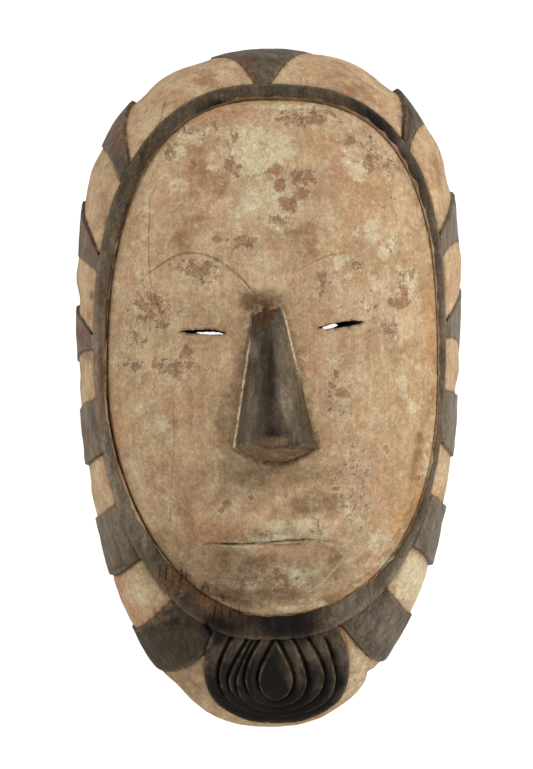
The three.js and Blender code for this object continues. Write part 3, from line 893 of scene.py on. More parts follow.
# Each row holds an oval's left, top, right and bottom in the frame, then its amount and its tilt.
PATCHES = {
    Mark.PALE: (
        (328, 234, 394, 314, 0.4), (98, 210, 168, 330, 0.3), (104, 320, 150, 400, 0.3),
        (348, 520, 402, 596, 0.45), (302, 636, 352, 712, 0.6, -30), (108, 160, 150, 240, 0.25),
        (215, 124, 300, 186, 0.75), (222, 172, 298, 232, 0.75), (336, 144, 362, 168, 0.7, -30),
        (348, 160, 368, 184, 0.8, -20), (364, 217, 379, 244), (155, 144, 190, 162, 0.8),
        (204, 163, 224, 172, 0.8), (166, 180, 180, 192, 0.8), (137, 198, 157, 250, 0.5),
        (388, 229, 400, 253, 0.8), (375, 242, 391, 263, 0.8), (332, 249, 347, 272, 0.7),
        (396, 262, 421, 300, 0.6), (384, 308, 412, 348, 0.6), (394, 350, 412, 396, 0.6),
        (408, 392, 426, 421, 0.6, -20), (338, 504, 356, 524, 0.6), (350, 510, 368, 531, 0.5),
        (290, 516, 320, 536, 0.95), (300, 530, 330, 540, 0.8), (257, 520, 292, 532, 0.9),
        (246, 533, 302, 542), (284, 562, 320, 588, 0.95, -10), (262, 556, 296, 570, 0.6),
        (243, 568, 262, 592, 0.8), (205, 592, 232, 600, 0.4, -22), (232, 600, 262, 608, 0.55, -8),
        (262, 604, 300, 611, 0.7), (300, 599, 332, 608, 0.55, 10), (236, 103, 338, 112, 0.7),
        (214, 480, 250, 500, 0.4), (368, 528, 382, 560, 0.9, -15), (131, 400, 150, 420, 0.55, 20),
        (146, 410, 172, 438, 0.4, 30), (127, 274, 177, 335, 0.4), (335, 62, 385, 92, 0.3, -28),
        (214, 62, 236, 84, 0.4), (122, 575, 160, 612, 0.5), (392, 545, 434, 610, 0.8),
        (350, 630, 376, 680, 0.5), (348, 640, 380, 690, 0.45), (420, 440, 445, 500, 0.45),
        (284, 66, 330, 84, 0.3), (176, 250, 222, 288, 0.5), (366, 262, 392, 300, 0.5),
        (252, 520, 300, 534, 0.8), (222, 540, 262, 552, 0.5), (160, 120, 210, 150, 0.5),
        (280, 104, 330, 122, 0.5),
    ),
    Mark.FLAKED: (
        (266, 163, 284, 178, 1.1), (272, 176, 286, 192, 1.15), (230, 133, 238, 146), (224, 142, 232, 150),
        (225, 154, 236, 172, 1.15), (234, 163, 243, 170, 1.1), (233, 170, 241, 181, 1.1),
        (204, 118, 222, 134, 0.7), (286, 168, 318, 188, 1.2), (292, 184, 310, 202, 1.15),
        (276, 198, 302, 214, 1.2, -30), (271, 213, 290, 230, 1.1), (228, 234, 260, 251, 1.1),
        (211, 229, 223, 247), (238, 238, 256, 250, 1.25), (335, 137, 361, 147), (358, 146, 382, 174, 0.8),
        (175, 254, 220, 285, 0.95), (127, 285, 176, 335, 0.8), (176, 345, 196, 371, 0.9),
        (150, 358, 206, 377, 0.95), (120, 358, 143, 374), (343, 257, 367, 271, 0.9),
        (386, 236, 400, 254, 0.8), (390, 222, 402, 242, 0.6), (395, 273, 410, 309), (384, 296, 412, 310),
        (407, 263, 420, 280, 0.9), (312, 266, 336, 296, 0.7), (344, 280, 392, 330, 0.5),
        (378, 312, 400, 345, 0.85), (250, 531, 278, 541, 0.95), (306, 520, 332, 538, 0.75),
        (338, 500, 352, 516, 0.6), (270, 108, 346, 128, 0.9), (160, 140, 184, 162, 0.85),
        (376, 135, 392, 185, 0.85, 35), (176, 120, 204, 140, 0.8), (150, 560, 205, 600, 0.6, -40),
        (322, 350, 352, 420, 0.55), (340, 440, 372, 530, 0.6), (206, 560, 330, 600, 0.55),
        (126, 330, 150, 350, 0.8),
    ),
    Mark.BROWN: (
        (186, 138, 216, 232, 0.9), (200, 165, 238, 202, 0.8), (172, 214, 196, 252), (286, 216, 322, 262),
        (196, 285, 234, 310, 0.5), (172, 490, 198, 535, 0.8), (138, 425, 170, 535, 0.5),
        (196, 546, 246, 580, 0.9, -20), (250, 588, 330, 602, 0.9, 6), (238, 552, 286, 578, 0.7),
        (262, 580, 306, 597), (205, 550, 242, 562, 0.8), (226, 585, 262, 600, 0.7),
        (352, 345, 382, 400, 0.5), (286, 476, 345, 520, 0.75), (190, 66, 222, 90, 0.9, -20),
        (328, 70, 376, 100, 1.1, -30), (428, 148, 442, 195, 1.0, 12), (348, 86, 384, 112, 1.0, -40),
        (402, 150, 420, 215, 0.6, 20), (414, 196, 428, 236, 0.7, 15), (160, 92, 200, 112, 0.5, 30),
        (240, 330, 250, 440, 0.5), (242, 290, 276, 314, 1.1), (308, 590, 362, 608, 0.9, 22),
        (424, 262, 434, 340, 0.4), (120, 370, 160, 400, 0.5), (82, 300, 96, 330, 0.6),
        (75, 360, 96, 376, 0.5), (190, 700, 235, 722, 0.5), (280, 579, 304, 594, 1.0, 30),
    ),
    Mark.PINK: (
        (326, 140, 350, 205, 0.6), (186, 108, 242, 124, 0.7, 20), (338, 170, 372, 240, 0.6),
        (296, 330, 330, 400, 0.5), (105, 400, 124, 475, 0.8), (180, 518, 240, 546, 0.8),
        (360, 555, 392, 592, 0.6), (176, 160, 200, 176, 0.5), (335, 340, 352, 380, 0.5),
        (100, 395, 112, 440, 0.5), (112, 565, 126, 612, 0.9), (126, 600, 150, 628, 0.9),
        (330, 430, 400, 500, 0.3), (112, 400, 132, 520, 0.55, 8),
    ),
    Mark.OCHRE: (
        (303, 125, 336, 158), (360, 170, 394, 212, 0.8), (424, 268, 437, 402), (412, 395, 428, 470, 0.9),
        (390, 455, 424, 570, 1.2, -18), (314, 405, 325, 455, 0.9), (368, 500, 398, 545, 0.6),
        (330, 615, 352, 660, 0.8), (420, 150, 432, 180, 0.5), (85, 395, 95, 430, 0.5),
        (280, 236, 330, 262, 0.4), (96, 385, 106, 425), (430, 320, 446, 420, 0.6),
    ),
    Mark.SPOT: (
        (332, 381, 355, 404, 0.85), (382, 443, 391, 456), (221, 498, 233, 509), (216, 507, 225, 514, 0.9),
        (247, 494, 256, 500, 0.9), (331, 484, 341, 493, 0.9), (361, 496, 368, 502, 0.7),
        (152, 413, 165, 428, 0.8), (333, 575, 339, 582, 0.9), (313, 567, 320, 573, 0.8),
        (244, 570, 258, 583, 1.3), (260, 567, 268, 575, 1.2), (271, 567, 281, 576, 1.3),
        (280, 573, 288, 581, 1.2), (170, 183, 178, 192, 0.8), (353, 514, 360, 521, 0.8),
    ),
    # old soiling, and painted shade under and beside the nose and on the down-facing chin
    Mark.DIRT: (
        (292, 486, 340, 520, 0.6, -10), (176, 536, 216, 572, 0.6, -30), (208, 528, 262, 550, 0.4),
        (206, 486, 244, 506, 0.25), (300, 574, 330, 600, 0.35), (214, 388, 238, 458, 0.6),
        (228, 332, 247, 452, 0.7, -8), (240, 289, 282, 313), (216, 446, 334, 494, 0.65),
        (196, 546, 334, 604, 0.45), (234, 552, 284, 572, 0.7), (190, 540, 262, 600, 0.7, -30),
        (200, 584, 262, 606, 1.0, -14), (256, 590, 316, 602, 0.6), (180, 546, 236, 590, 0.6, -40),
        (326, 556, 352, 580, 0.5), (206, 684, 230, 698, 0.8, -35), (330, 616, 340, 640, 0.6, -60),
        (322, 545, 346, 588, 0.7, -20), (246, 586, 300, 602, 0.8), (188, 522, 332, 546, 0.4),
        (146, 545, 262, 606, 0.6, -35), (416, 431, 422, 438, 0.7), (412, 475, 422, 481, 0.7),
        (316, 270, 328, 280, 0.7), (322, 284, 334, 294, 0.5), (150, 655, 208, 722, 0.35),
        (414, 404, 424, 490, 0.5, -12), (245, 445, 312, 466), (244, 330, 248, 440, 0.6, -7),
        (80, 340, 96, 362, 0.7), (396, 90, 404, 130, 0.4), (100, 180, 108, 240, 0.3),
        (88, 290, 98, 300, 0.8),
    ),
    Mark.WORN: (
        (158, 556, 200, 602, 0.8, 30), (186, 596, 236, 614, 0.85, -25), (206, 600, 262, 620, 0.9, -10),
        (200, 604, 262, 636, 0.35), (282, 672, 290, 700, 0.9), (62, 340.5, 112, 349.5, 1.0, -64),
        (65, 228, 121, 236, 0.8, -72), (104, 98, 136, 162, 0.8), (80, 200, 98, 268, 0.6, 12),
        (76, 296, 98, 345, 0.6), (80, 425, 100, 456, 0.7), (438, 188, 454, 207), (95, 300, 106, 480, 0.6),
        (92, 250, 104, 320, 0.5, 8), (230, 56, 264, 86, 0.6), (251, 304, 278, 328, 0.8, 25),
        (258, 434, 280, 448, 0.9), (262, 345, 276, 436, 0.4), (276, 340, 284, 400, 0.3, -8),
        (116, 480, 132, 530, 0.4), (425, 236, 436, 300, 0.6), (395, 92, 410, 150, 0.6, 10),
        (402, 200, 418, 222, 0.4), (380, 560, 402, 590, 0.3), (102, 520, 140, 570, 0.35),
    ),
    Mark.WEAR: (
        (394, 93, 404, 130, 1.3, 12), (435, 396, 440, 455, 0.6), (441, 515, 449, 560, 0.7, -12),
        (79, 404, 84, 452, 0.6), (258, 437, 288, 445, 0.7), (94, 515, 100, 560, 0.5, 10),
        (378, 600, 400, 612, 0.5, 20), (130, 617, 178, 624, 0.5, 18), (85, 205, 90, 260, 0.6, 8),
    ),
    Mark.SOOT: (
        (228, 598, 332, 634, 0.9), (260, 420, 292, 447, 0.65), (200, 640, 300, 734),
        (200, 680, 352, 738, 1.25), (286, 644, 352, 730, 0.75), (132, 606, 216, 668, 0.35),
        (252, 606, 330, 646, 0.85), (180, 612, 262, 646, 0.6, -12), (256, 336, 280, 446, 0.5),
        (266, 441, 310, 447, 0.5), (198, 98, 232, 112, 0.8), (342, 84, 412, 148, 0.85, -45),
        (404, 140, 432, 210, 0.6, 25), (264, 60, 330, 70, 0.4),
    ),
    # dark nicks, and painted shadow in the hollow above the top of the nose
    Mark.DARK: (
        (250, 302, 276, 324, 0.95, 25), (248, 296, 270, 310, 0.6, 15), (213, 598, 219, 622, 0.7),
        (226, 603, 231, 626, 0.6), (236, 608, 240, 624, 0.5), (208, 589, 258, 603, 0.45, -14),
        (199, 584, 213, 594, 1.1, -30), (215, 593, 226, 602, 1.1, -20), (348, 596, 372, 602, 0.4, 28),
    ),
    # greyed black paint, and painted highlights on the nose flanks, the lower right ridge and the lowest
    # right block
    Mark.GREY: (
        (318, 586, 388, 618, 1.0, 32), (248, 338, 258, 366, 0.9), (280, 382, 293, 426, 1.1, 8),
        (234, 338, 262, 446, 0.4), (276, 330, 304, 444, 0.45, 6), (358, 598, 410, 652, 0.5),
        (98, 150, 125, 330, 0.4, 10), (88, 405, 112, 450, 0.6), (434, 392, 456, 458, 0.5),
        (418, 500, 448, 566, 0.55, -10), (100, 512, 150, 566, 0.4), (110, 450, 150, 560, 0.5, 28),
        (286, 632, 346, 690, 0.55), (204, 640, 226, 680, 0.4), (226, 636, 262, 664, 0.4),
        (232, 400, 250, 448, 0.4),
    ),
}

STREAKS = (
    Streak(((-58.4, -94.5), (-58.8, -103.0)), 0.4, 0.6),
    Streak(((-54.6, -95.0), (-55.6, -104.5)), 0.45, 0.7),
    Streak(((-46.6, -96.0), (-47.3, -106.0)), 0.45, 0.8),
    Streak(((-44.4, -99.0), (-44.9, -104.0)), 0.35, 0.5),
    Streak(((-28.2, -116.5), (-30.4, -127.0)), 0.5, 0.9),
    Streak(((-25.2, -116.0), (-25.6, -123.0)), 0.35, 0.6),
    Streak(((-20.4, -117.0), (-21.0, -125.0)), 0.45, 0.8),
    Streak(((-15.6, -118.0), (-15.9, -124.0)), 0.35, 0.6),
    Streak(((-16.5, -103.0), (-19.5, -109.0)), 0.35, 0.4),
    Streak(((-13.0, -102.0), (-15.0, -107.5)), 0.35, 0.4),
    Streak(((-6.6, 48.4), (-12.9, 56.0), (-20.8, 66.1)), 0.45, 0.12, strength=0.7),
    Streak(
        ((9.0, 54.3), (13.5, 58.8), (20.0, 62.8), (29.0, 67.2), (42.0, 70.4)),
        0.5, 0.0, kind=Mark.BARE, strength=0.4,
    ),
    Streak(((-7.6, 47.9), (-13.9, 55.5), (-21.6, 65.4)), 0.45, 0.0, kind=Mark.BARE, strength=0.5),
    # painted shadow in the mouth's cut, a painted highlight along its lower lip, and a second line of painted
    # shadow under the cut's right half
    Streak(
        (
            (-31.5, -82.4), (-22.0, -82.9), (-15.0, -82.5), (-6.0, -82.3),
            (3.4, -81.4), (10.0, -80.6), (16.5, -80.6), (27.0, -80.4),
        ),
        0.9, 0.0, strength=1.2,
    ),
    Streak(
        ((-33.5, -83.2), (-24.0, -83.9), (-14.0, -84.2), (-2.0, -83.8)),
        0.7, 0.0, kind=Mark.BARE, strength=0.9,
    ),
    Streak(((0.5, -83.4), (16.5, -82.6), (26.0, -81.2)), 0.5, 0.3, strength=0.6),
    Streak(((-85.9, -101.2), (-81.5, -98.0), (-77.1, -96.2), (-68.3, -92.2)), 0.8, 0.3, strength=1.1),
    Streak(
        ((43.9, -85.9), (36.0, -96.0), (27.0, -105.9), (17.0, -112.5)),
        0.9, 0.0, kind=Mark.BARE, strength=0.55,
    ),
    Streak(
        (
            (-51.4, 157.2), (-55.5, 156.9), (-56.8, 151.8), (-57.9, 144.8),
            (-60.9, 138.2), (-62.5, 132.8), (-63.1, 125.8),
        ),
        0.4, 0.5,
    ),
)

DENTS = (
    Oval(204.8, 616.5, 211.2, 639.5, 3.0, 31.0),
    Oval(367.0, 671.0, 379.0, 682.0, 1.6),
    Oval(199.5, 583.0, 206.0, 589.5, 0.9, -30.0),
    Oval(217.0, 594.0, 222.5, 599.0, 0.7),
    Oval(251.0, 308.0, 277.0, 322.0, 2.4, 28.0),
)


@dataclass(frozen=True)
class RidgeLine:
    """A thin line that follows the ridge: its angles in degrees, and its share of the way over it."""

    kind: Mark
    start: float
    end: float
    share: float
    strength: float

    def cover(self, angle: Array, q: Array) -> Array:
        """Return how strong the line is at each place of the ridge."""
        past = np.mod(np.degrees(angle) - self.start, 360.0)
        left = self.end - self.start - past
        ends = ramp(past, 0.0, 4.0) * ramp(left, 0.0, 4.0)
        return self.strength * ends * np.clip(1.3 - np.abs(q - self.share) / 0.055, 0.0, 1.0)


RIDGE_LINES = (
    RidgeLine(Mark.BARE, 188.0, 208.0, 0.2, 0.9),
    RidgeLine(Mark.BARE, 202.0, 236.0, 0.24, 0.3),
    RidgeLine(Mark.PINK, 196.0, 244.0, 0.18, 1.3),
    RidgeLine(Mark.PINK, 196.0, 244.0, 0.24, 1.0),
    RidgeLine(Mark.BARE, 318.0, 366.0, 0.26, 0.4),
    RidgeLine(Mark.BARE, 325.0, 420.0, 0.16, 0.25),
    RidgeLine(Mark.DARK, 272.0, 322.0, 0.1, 0.8),
    RidgeLine(Mark.BROWN, 268.0, 335.0, 0.2, 1.4),
    RidgeLine(Mark.BARE, 0.0, 62.0, 0.25, 0.3),
    RidgeLine(Mark.DARK, 126.0, 196.0, 0.1, 0.9),
    RidgeLine(Mark.DARK, 188.0, 242.0, 0.03, 1.2),
    RidgeLine(Mark.DARK, 188.0, 214.0, 0.14, 0.7),
    RidgeLine(Mark.DARK, 298.0, 384.0, 0.35, 0.35),
    RidgeLine(Mark.OCHRE, 170.0, 190.0, 0.3, 1.0),
)

# Each table holds degrees around the face, anticlockwise from the right, and a value at each.
BLACK_STARTS = (
    (0.0, 20.0, 45.0, 70.0, 85.0, 110.0, 130.0, 168.0, 190.0, 235.0, 248.0, 285.0, 300.0, 330.0, 360.0),
    (0.36, 0.34, 0.32, 0.32, 0.3, 0.24, 0.12, 0.14, 0.27, 0.22, 0.03, 0.03, 0.22, 0.36, 0.36),
)
BLOCK_GREY = (
    (0.0, 40.0, 60.0, 110.0, 140.0, 170.0, 180.0, 230.0, 240.0, 275.0, 285.0, 310.0, 360.0),
    (0.7, 0.6, 0.3, 0.2, 0.5, 0.65, 0.8, 0.7, 0.05, 0.0, 0.25, 0.5, 0.7),
)
RIDGE_GREY = (
    (0.0, 20.0, 60.0, 90.0, 130.0, 150.0, 165.0, 180.0, 225.0, 236.0, 250.0, 290.0, 300.0, 315.0, 360.0),
    (0.45, 0.4, 0.15, 0.05, 0.1, 0.6, 0.95, 1.15, 1.05, 0.7, 0.0, 0.0, 0.6, 0.4, 0.45),
)
RIDGE_FOOT_FILL = (
    (0.0, 50.0, 75.0, 110.0, 130.0, 235.0, 250.0, 285.0, 305.0, 360.0),
    (1.5, 1.5, 1.0, 0.6, -0.5, -0.5, 0.5, 0.8, 1.5, 1.5),
)
# painted shade and soiling at the inner foot of the ridge, by angle
RIDGE_FOOT_DARK = (
    (0.0, 20.0, 60.0, 90.0, 115.0, 135.0, 200.0, 235.0, 246.0, 262.0, 285.0, 300.0, 320.0, 360.0),
    (0.0, 0.0, 0.15, 0.15, 0.3, 0.8, 0.85, 0.9, 0.15, 0.2, 0.5, 0.3, 0.05, 0.0),
)
FACE_EDGE_BROWN = ((0.0, 20.0, 50.0, 272.0, 290.0, 360.0), (1.0, 0.9, 0.0, 0.0, 1.0, 1.0))
CROWN_BROWN = ((0.0, 50.0, 75.0, 120.0, 145.0, 360.0), (0.0, 0.2, 0.8, 0.8, 0.0, 0.0))


@dataclass
class Surface:
    """Corners in millimetres, triangles, and named marks for every corner."""

    places: Array
    triangles: Array
    marks: dict[Mark, Array]


@dataclass
class Carving:
    """Corners being carved: base places, outward directions, relief along these, and marks."""

    base: Array
    normal: Array
    relief: Array
    marks: dict[Mark, Array]

    @classmethod
    def blank(cls, count: int) -> Carving:
        """Start with so many corners, all without relief and marks."""
        marks = {kind: np.zeros(count) for kind in Mark}
        return cls(np.zeros((count, 3)), np.zeros((count, 3)), np.zeros(count), marks)

    def put(self, where: Array, part: Carving) -> None:
        """Fill in the corners of one zone."""
        self.base[where], self.normal[where], self.relief[where] = part.base, part.normal, part.relief
        for kind, values in part.marks.items():
            self.marks[kind][where] = values

    def lift(self, kind: Mark, values: Array, where: Array | slice = slice(None)) -> None:
        """Raise a mark to at least the given values, at all corners or at some."""
        self.marks[kind][where] = np.maximum(self.marks[kind][where], values)


def without_openings(flat: Array, triangles: Array, loops: list[Array]) -> Array:
    """Return the triangles of a flat sheet that lie outside all the loops."""
    for loop in loops:
        middle = flat[triangles].mean(axis=1)
        triangles = triangles[~inside_loop(middle[:, 0], middle[:, 1], loop)]
    return triangles


@dataclass
class CarvedFront:
    """The finely carved outside: face, ridge, side band, dark blocks, nose and beard."""

    form: CarvedForm
    face_step: float = 1.5
    nose_step: float = 0.85
    band_step: float = 1.7
    beard_step: float = 0.8
    beard_foot: float = 1.0
    band_end: float = 0.985
    corner_gap: float = 0.0035

    def __post_init__(self) -> None:
        """Lay out the sheet and fix the unevenness left by the adze and the knife."""
        self.sheet = Sheet(self.form)
        self.broad = HandNoise(11, 34.0)
        self.medium = HandNoise(12, 11.0)
        self.facets = HandNoise(13, 5.5)

    def surface(self) -> Surface:
        """Cut the sheet, set every corner in space and leave out the eye slits."""
        flat, triangles = self.cut_sheet()
        triangles = without_openings(flat, triangles, [slit.front.loop() for slit in self.form.slits])
        places, marks = self.carve(flat)
        return Surface(places, triangles, marks)

    def cut_sheet(self) -> tuple[Array, Array]:
        """Draw every arris, groove and opening on the sheet and cut it into triangles."""
        sheet, cutter = self.sheet, Cutter()
        turn = np.linspace(0.0, TURN, 620, endpoint=False)
        for q in (0.0, 0.05, 0.12, 0.21, 0.32, 0.44, 0.56, 0.68, 0.79, 0.88, 0.95, 1.0):
            cutter.line(sheet.lay_ridge(turn, q), closed=True)
        for gap in (0.6, 1.5, 2.7):
            cutter.line(Sheet.lay(turn, RIDGE_INSIDE.radius(turn) - gap), closed=True)
        cutter.line(sheet.lay_band(self.rim_angles(), 1.0), closed=True)
        s = np.linspace(0.02, 1.0, 46)
        for edge in self.block_edges(s):
            cutter.line(sheet.lay_band(edge, s))
        for slit in self.form.slits:
            cutter.line(slit.front.loop(), closed=True)
        outline = self.form.nose.outline()
        outline = even_row(np.concatenate([outline, outline[:1]]), 1.1)
        cutter.line(outline[:-1], closed=True)
        for gap in (-1.1, -0.45, 0.45, 0.9):
            cutter.line(beside(outline, gap)[1:-1])
        cutter.line(even_row(self.form.nose.crest(), 1.1))
        self.draw_beard(cutter)
        for cut in (self.form.mouth, *self.form.brows, *self.form.cracks, *STREAKS):
            for row in (cut.path, *cut.sides()):
                cutter.line(self.lay_view(row))
        self.fill_beard(cutter)
        self.fill_nose(cutter)
        self.fill_zones(cutter)
        return cutter.cut()

    def block_edges(self, s: Array) -> list[Array]:
        """Return the angles of every block's edges and of their feet, just outside, down the band."""
        rows = []
        for block in BLOCKS:
            for side, way in ((0, -1.0), (1, 1.0)):
                edge = block.edge(side, s)
                place = self.form.band_smooth(edge, s)
                radius = polar(place[:, 0], place[:, 1])[1]
                rows += [edge, edge + way * self.form.foot / radius]
        return rows

    def rim_angles(self) -> Array:
        """Return the angles of the corners along the rim, with each block's edges among them."""
        even = np.linspace(0.0, TURN, 760, endpoint=False)
        exact = np.mod([edge[0] for edge in self.block_edges(np.ones(1))], TURN)
        apart = np.abs(np.mod(even[:, None] - exact[None, :] + math.pi, TURN) - math.pi).min(axis=1)
        return np.sort(np.concatenate([even[apart > self.corner_gap], exact]))

    def lay_view(self, row: Array) -> Array:
        """Return the sheet places of a row drawn in the front view."""
        angle, radius = polar(*row.T)
        inside, outside = RIDGE_INSIDE.radius(angle), RIDGE_OUTSIDE.radius(angle)
        across = np.clip(1.0 - 2.0 * (radius - inside) / (outside - inside), -1.0, 1.0)
        q = np.arccos(np.sign(across) * np.abs(across) ** (1.0 / self.form.ridge_flatness)) / math.pi
        on_band = self.sheet.lay_band(angle, self.form.band_share(angle, np.maximum(radius, outside)))
        beyond = np.where((radius < outside)[:, None], self.sheet.lay_ridge(angle, q), on_band)
        return np.where((radius < inside)[:, None], row, beyond)

    def draw_beard(self, cutter: Cutter) -> None:
        """Draw the beard's edge, its foot and the cuts between its locks."""
        beard = self.form.beard
        for grow in (0.0, self.beard_foot):
            flat, on_band = self.sheet.lay_band_view(beard.outline(grow))
            cutter.stretches(flat, on_band)
        for groove in beard.grooves:
            for row in (groove.path, *groove.sides()):
                flat, on_band = self.sheet.lay_band_view(row)
                within = beard.beyond_edge(row[:, 0], row[:, 1]) < -0.5
                cutter.stretches(flat, on_band & within)

    def fill_beard(self, cutter: Cutter) -> None:
        """Add close-set places over the beard."""
        field = hex_field((-48.0, -262.0), (56.0, -138.0), self.beard_step)
        zone, angle, _, s = self.sheet.locate(field)
        on_band = (zone == Zone.BAND.value) & (s < self.band_end) & (s > 0.01)
        field, base = field[on_band], self.form.band_smooth(angle[on_band], s[on_band])
        near = self.form.beard.beyond_edge(base[:, 0], base[:, 1]) < 2.0
        cutter.fill(field[near], 0.5 * self.beard_step)

    def fill_nose(self, cutter: Cutter) -> None:
        """Add close-set places over the nose and just around its foot."""
        field = hex_field((-24.0, -46.0), (30.0, 50.0), self.nose_step)
        outline = self.form.nose.outline()
        near = inside_loop(*field.T, outline) | (distance_to_loop(*field.T, outline) < 3.0)
        cutter.fill(field[near], 0.5 * self.nose_step)

    def fill_zones(self, cutter: Cutter) -> None:
        """Add evenly set places over the face and the side band."""
        zones = ((Zone.FACE, self.face_step, 1.0), (Zone.BAND, self.band_step, self.band_end))
        for wanted, step, end in zones:
            field = hex_field((-215.0, -285.0), (215.0, 255.0), step)
            zone, _, _, share = self.sheet.locate(field)
            cutter.fill(field[(zone == wanted.value) & (share < end)], 0.62 * step)

    def carve(self, flat: Array) -> tuple[Array, dict[Mark, Array]]:
        """Set every place of the sheet in space, with its relief and its marks.

        Args:
            flat: Places on the sheet.

        Returns:
            Places in space, and the marks.
        """
        zone, angle, radius, share = self.sheet.locate(flat)
        whole = Carving.blank(len(flat))
        face, ridge, band = (zone == wanted.value for wanted in Zone)
        whole.put(face, self.carve_face(flat[face], angle[face], radius[face]))
        whole.put(ridge, self.carve_ridge(angle[ridge], share[ridge]))
        whole.put(band, self.carve_band(angle[band], share[band]))
        self.mark_front(whole)
        base = whole.base
        rough = 0.34 * self.broad.at(base) + 0.13 * self.medium.at(base) + 0.05 * self.facets.at(base)
        places = base + whole.normal * (whole.relief + rough)[:, None]
        places[:, 2] = np.maximum(places[:, 2], 0.0)
        whole.marks[Mark.INK] = np.clip(whole.marks[Mark.INK], -INK_LIMIT, INK_LIMIT)
        return places, whole.marks

    def mark_front(self, whole: Carving) -> None:
        """Add the stains, worn spots, painted highlights and shadows, fine lines and dents that are placed in
        the front view.
        """
        across, down = FrontView().see(whole.base)
        for kind, rows in PATCHES.items():
            for row in rows:
                whole.lift(kind, Oval(*row).density(across, down))
        x, y, _ = whole.base.T
        for line in (*self.form.brows, *self.form.cracks, *STREAKS):
            close = line.closeness(x, y)
            whole.lift(line.kind, line.strength * close)
            if line in STREAKS:
                whole.relief -= line.depth * close
        for dent in DENTS:
            within = dent.hollow(across, down)
            whole.relief -= within
            # painted shade in each dent
            whole.lift(Mark.DARK, 0.6 * within / dent.amount)

    def carve_face(self, flat: Array, angle: Array, radius: Array) -> Carving:
        """Carve the face and its nose, for places on the sheet and their angles and distances."""
        part = Carving.blank(len(flat))
        x, y = flat.T
        part.base = np.stack([x, y, self.form.face_height(x, y)], axis=1)
        part.normal[:, 2] = 1.0
        self.mark_nose(part)
        gap = RIDGE_INSIDE.radius(angle) - radius
        uneven = self.facets.at(part.base)
        part.lift(Mark.INK, 0.9 * uneven - gap - 10.0 * at_angle(angle, BLACK_STARTS))
        # painted shade along the inner foot of the ridge
        foot_dark = at_angle(angle, RIDGE_FOOT_DARK) * np.clip(0.8 + uneven, 0.1, 1.4)
        part.lift(Mark.RECESS, foot_dark * bell(gap, 0.8))
        browned = at_angle(angle, FACE_EDGE_BROWN)
        part.marks[Mark.BROWN] = 0.75 * browned * bell(gap - 3.6, 2.2)
        # old soiling and painted shade, darker towards the foot of the ridge
        part.lift(Mark.DIRT, 0.2 * ramp(-gap, -4.0, -0.5) * (1.0 - 0.6 * browned))
        part.base[:, 2] += at_angle(angle, RIDGE_FOOT_FILL) * bell(gap, 2.0)
        crown = ramp(np.sin(angle), 0.72, 0.93)
        part.lift(Mark.DARK, 0.3 * crown * bell(gap - 5.6, 0.6))
        part.relief -= 0.35 * crown * bell(gap - 5.6, 0.8)
        # painted shade round the edge of each eye slit
        for slit in self.form.slits:
            part.lift(Mark.DARK, 0.9 * bell(distance_to_loop(x, y, slit.front.loop()), 0.55))
        return part

    def mark_nose(self, part: Carving) -> None:
        """Mark the black nose, its rubbed foot, and the painted shadow below and beside it."""
        nose = self.form.nose
        x, y, _ = part.base.T
        near = (np.abs(x - nose.tip[0]) < 32.0) & (y > -52.0) & (y < 56.0)
        x, y = x[near], y[near]
        outline = nose.outline()
        distance = distance_to_loop(x, y, outline)
        depth = np.where(inside_loop(x, y, outline), distance, -distance)
        crest = nearest_on_row(x, y, nose.crest())[0]
        above_crest = nose.underside(x, y) > nose.front(x, y)
        uneven = self.facets.at(np.column_stack([x, y, 0.0 * x]))
        fade = 3.4 * ramp(y, 36.0, 43.0) * (1.0 + uneven)
        black = np.minimum(depth + 0.25, np.where(above_crest, crest, -crest) + 0.5) - fade
        part.marks[Mark.INK] += NO_INK
        part.marks[Mark.INK][near] = black
        on_left, on_right = x < nose.middle(y), x > nose.middle(y)
        left = on_left * ramp(-y, -28.0, -18.0) * ramp(y, -36.0, -30.0)
        right = on_right * ramp(-y, -41.0, -36.0) * ramp(y, 2.0, 12.0)
        part.lift(Mark.BARE, np.maximum(1.8 * left, 1.2 * right) * bell(depth - 0.15, 0.5), near)
        beside_top = on_left * ramp(y, 0.0, 16.0) + on_right * ramp(-y, 8.0, 22.0)
        outside = bell(depth + 1.0, 0.9) * (depth < 0.0)
        under = ~above_crest & (depth > 0.0)
        # painted shade on the underside of the nose and round its foot
        part.lift(Mark.DIRT, np.maximum(0.95 * under, 0.6 * bell(np.minimum(depth, 0.0), 3.2)), near)
        # painted shadow below the nose's foot, under its crest, on its underside and beside its top
        below = (y < nose.tip[1] - 1.5) * bell(depth, 1.3)
        under_crest = under * bell(crest - 1.4, 1.1) * ramp(x, -14.0, 0.0)
        for dark in (0.55 * outside * beside_top, 0.95 * below, 0.9 * under_crest, 0.22 * under):
            part.lift(Mark.DARK, dark, near)
        part.lift(Mark.WEAR, 0.7 * bell(crest, 1.0), near)

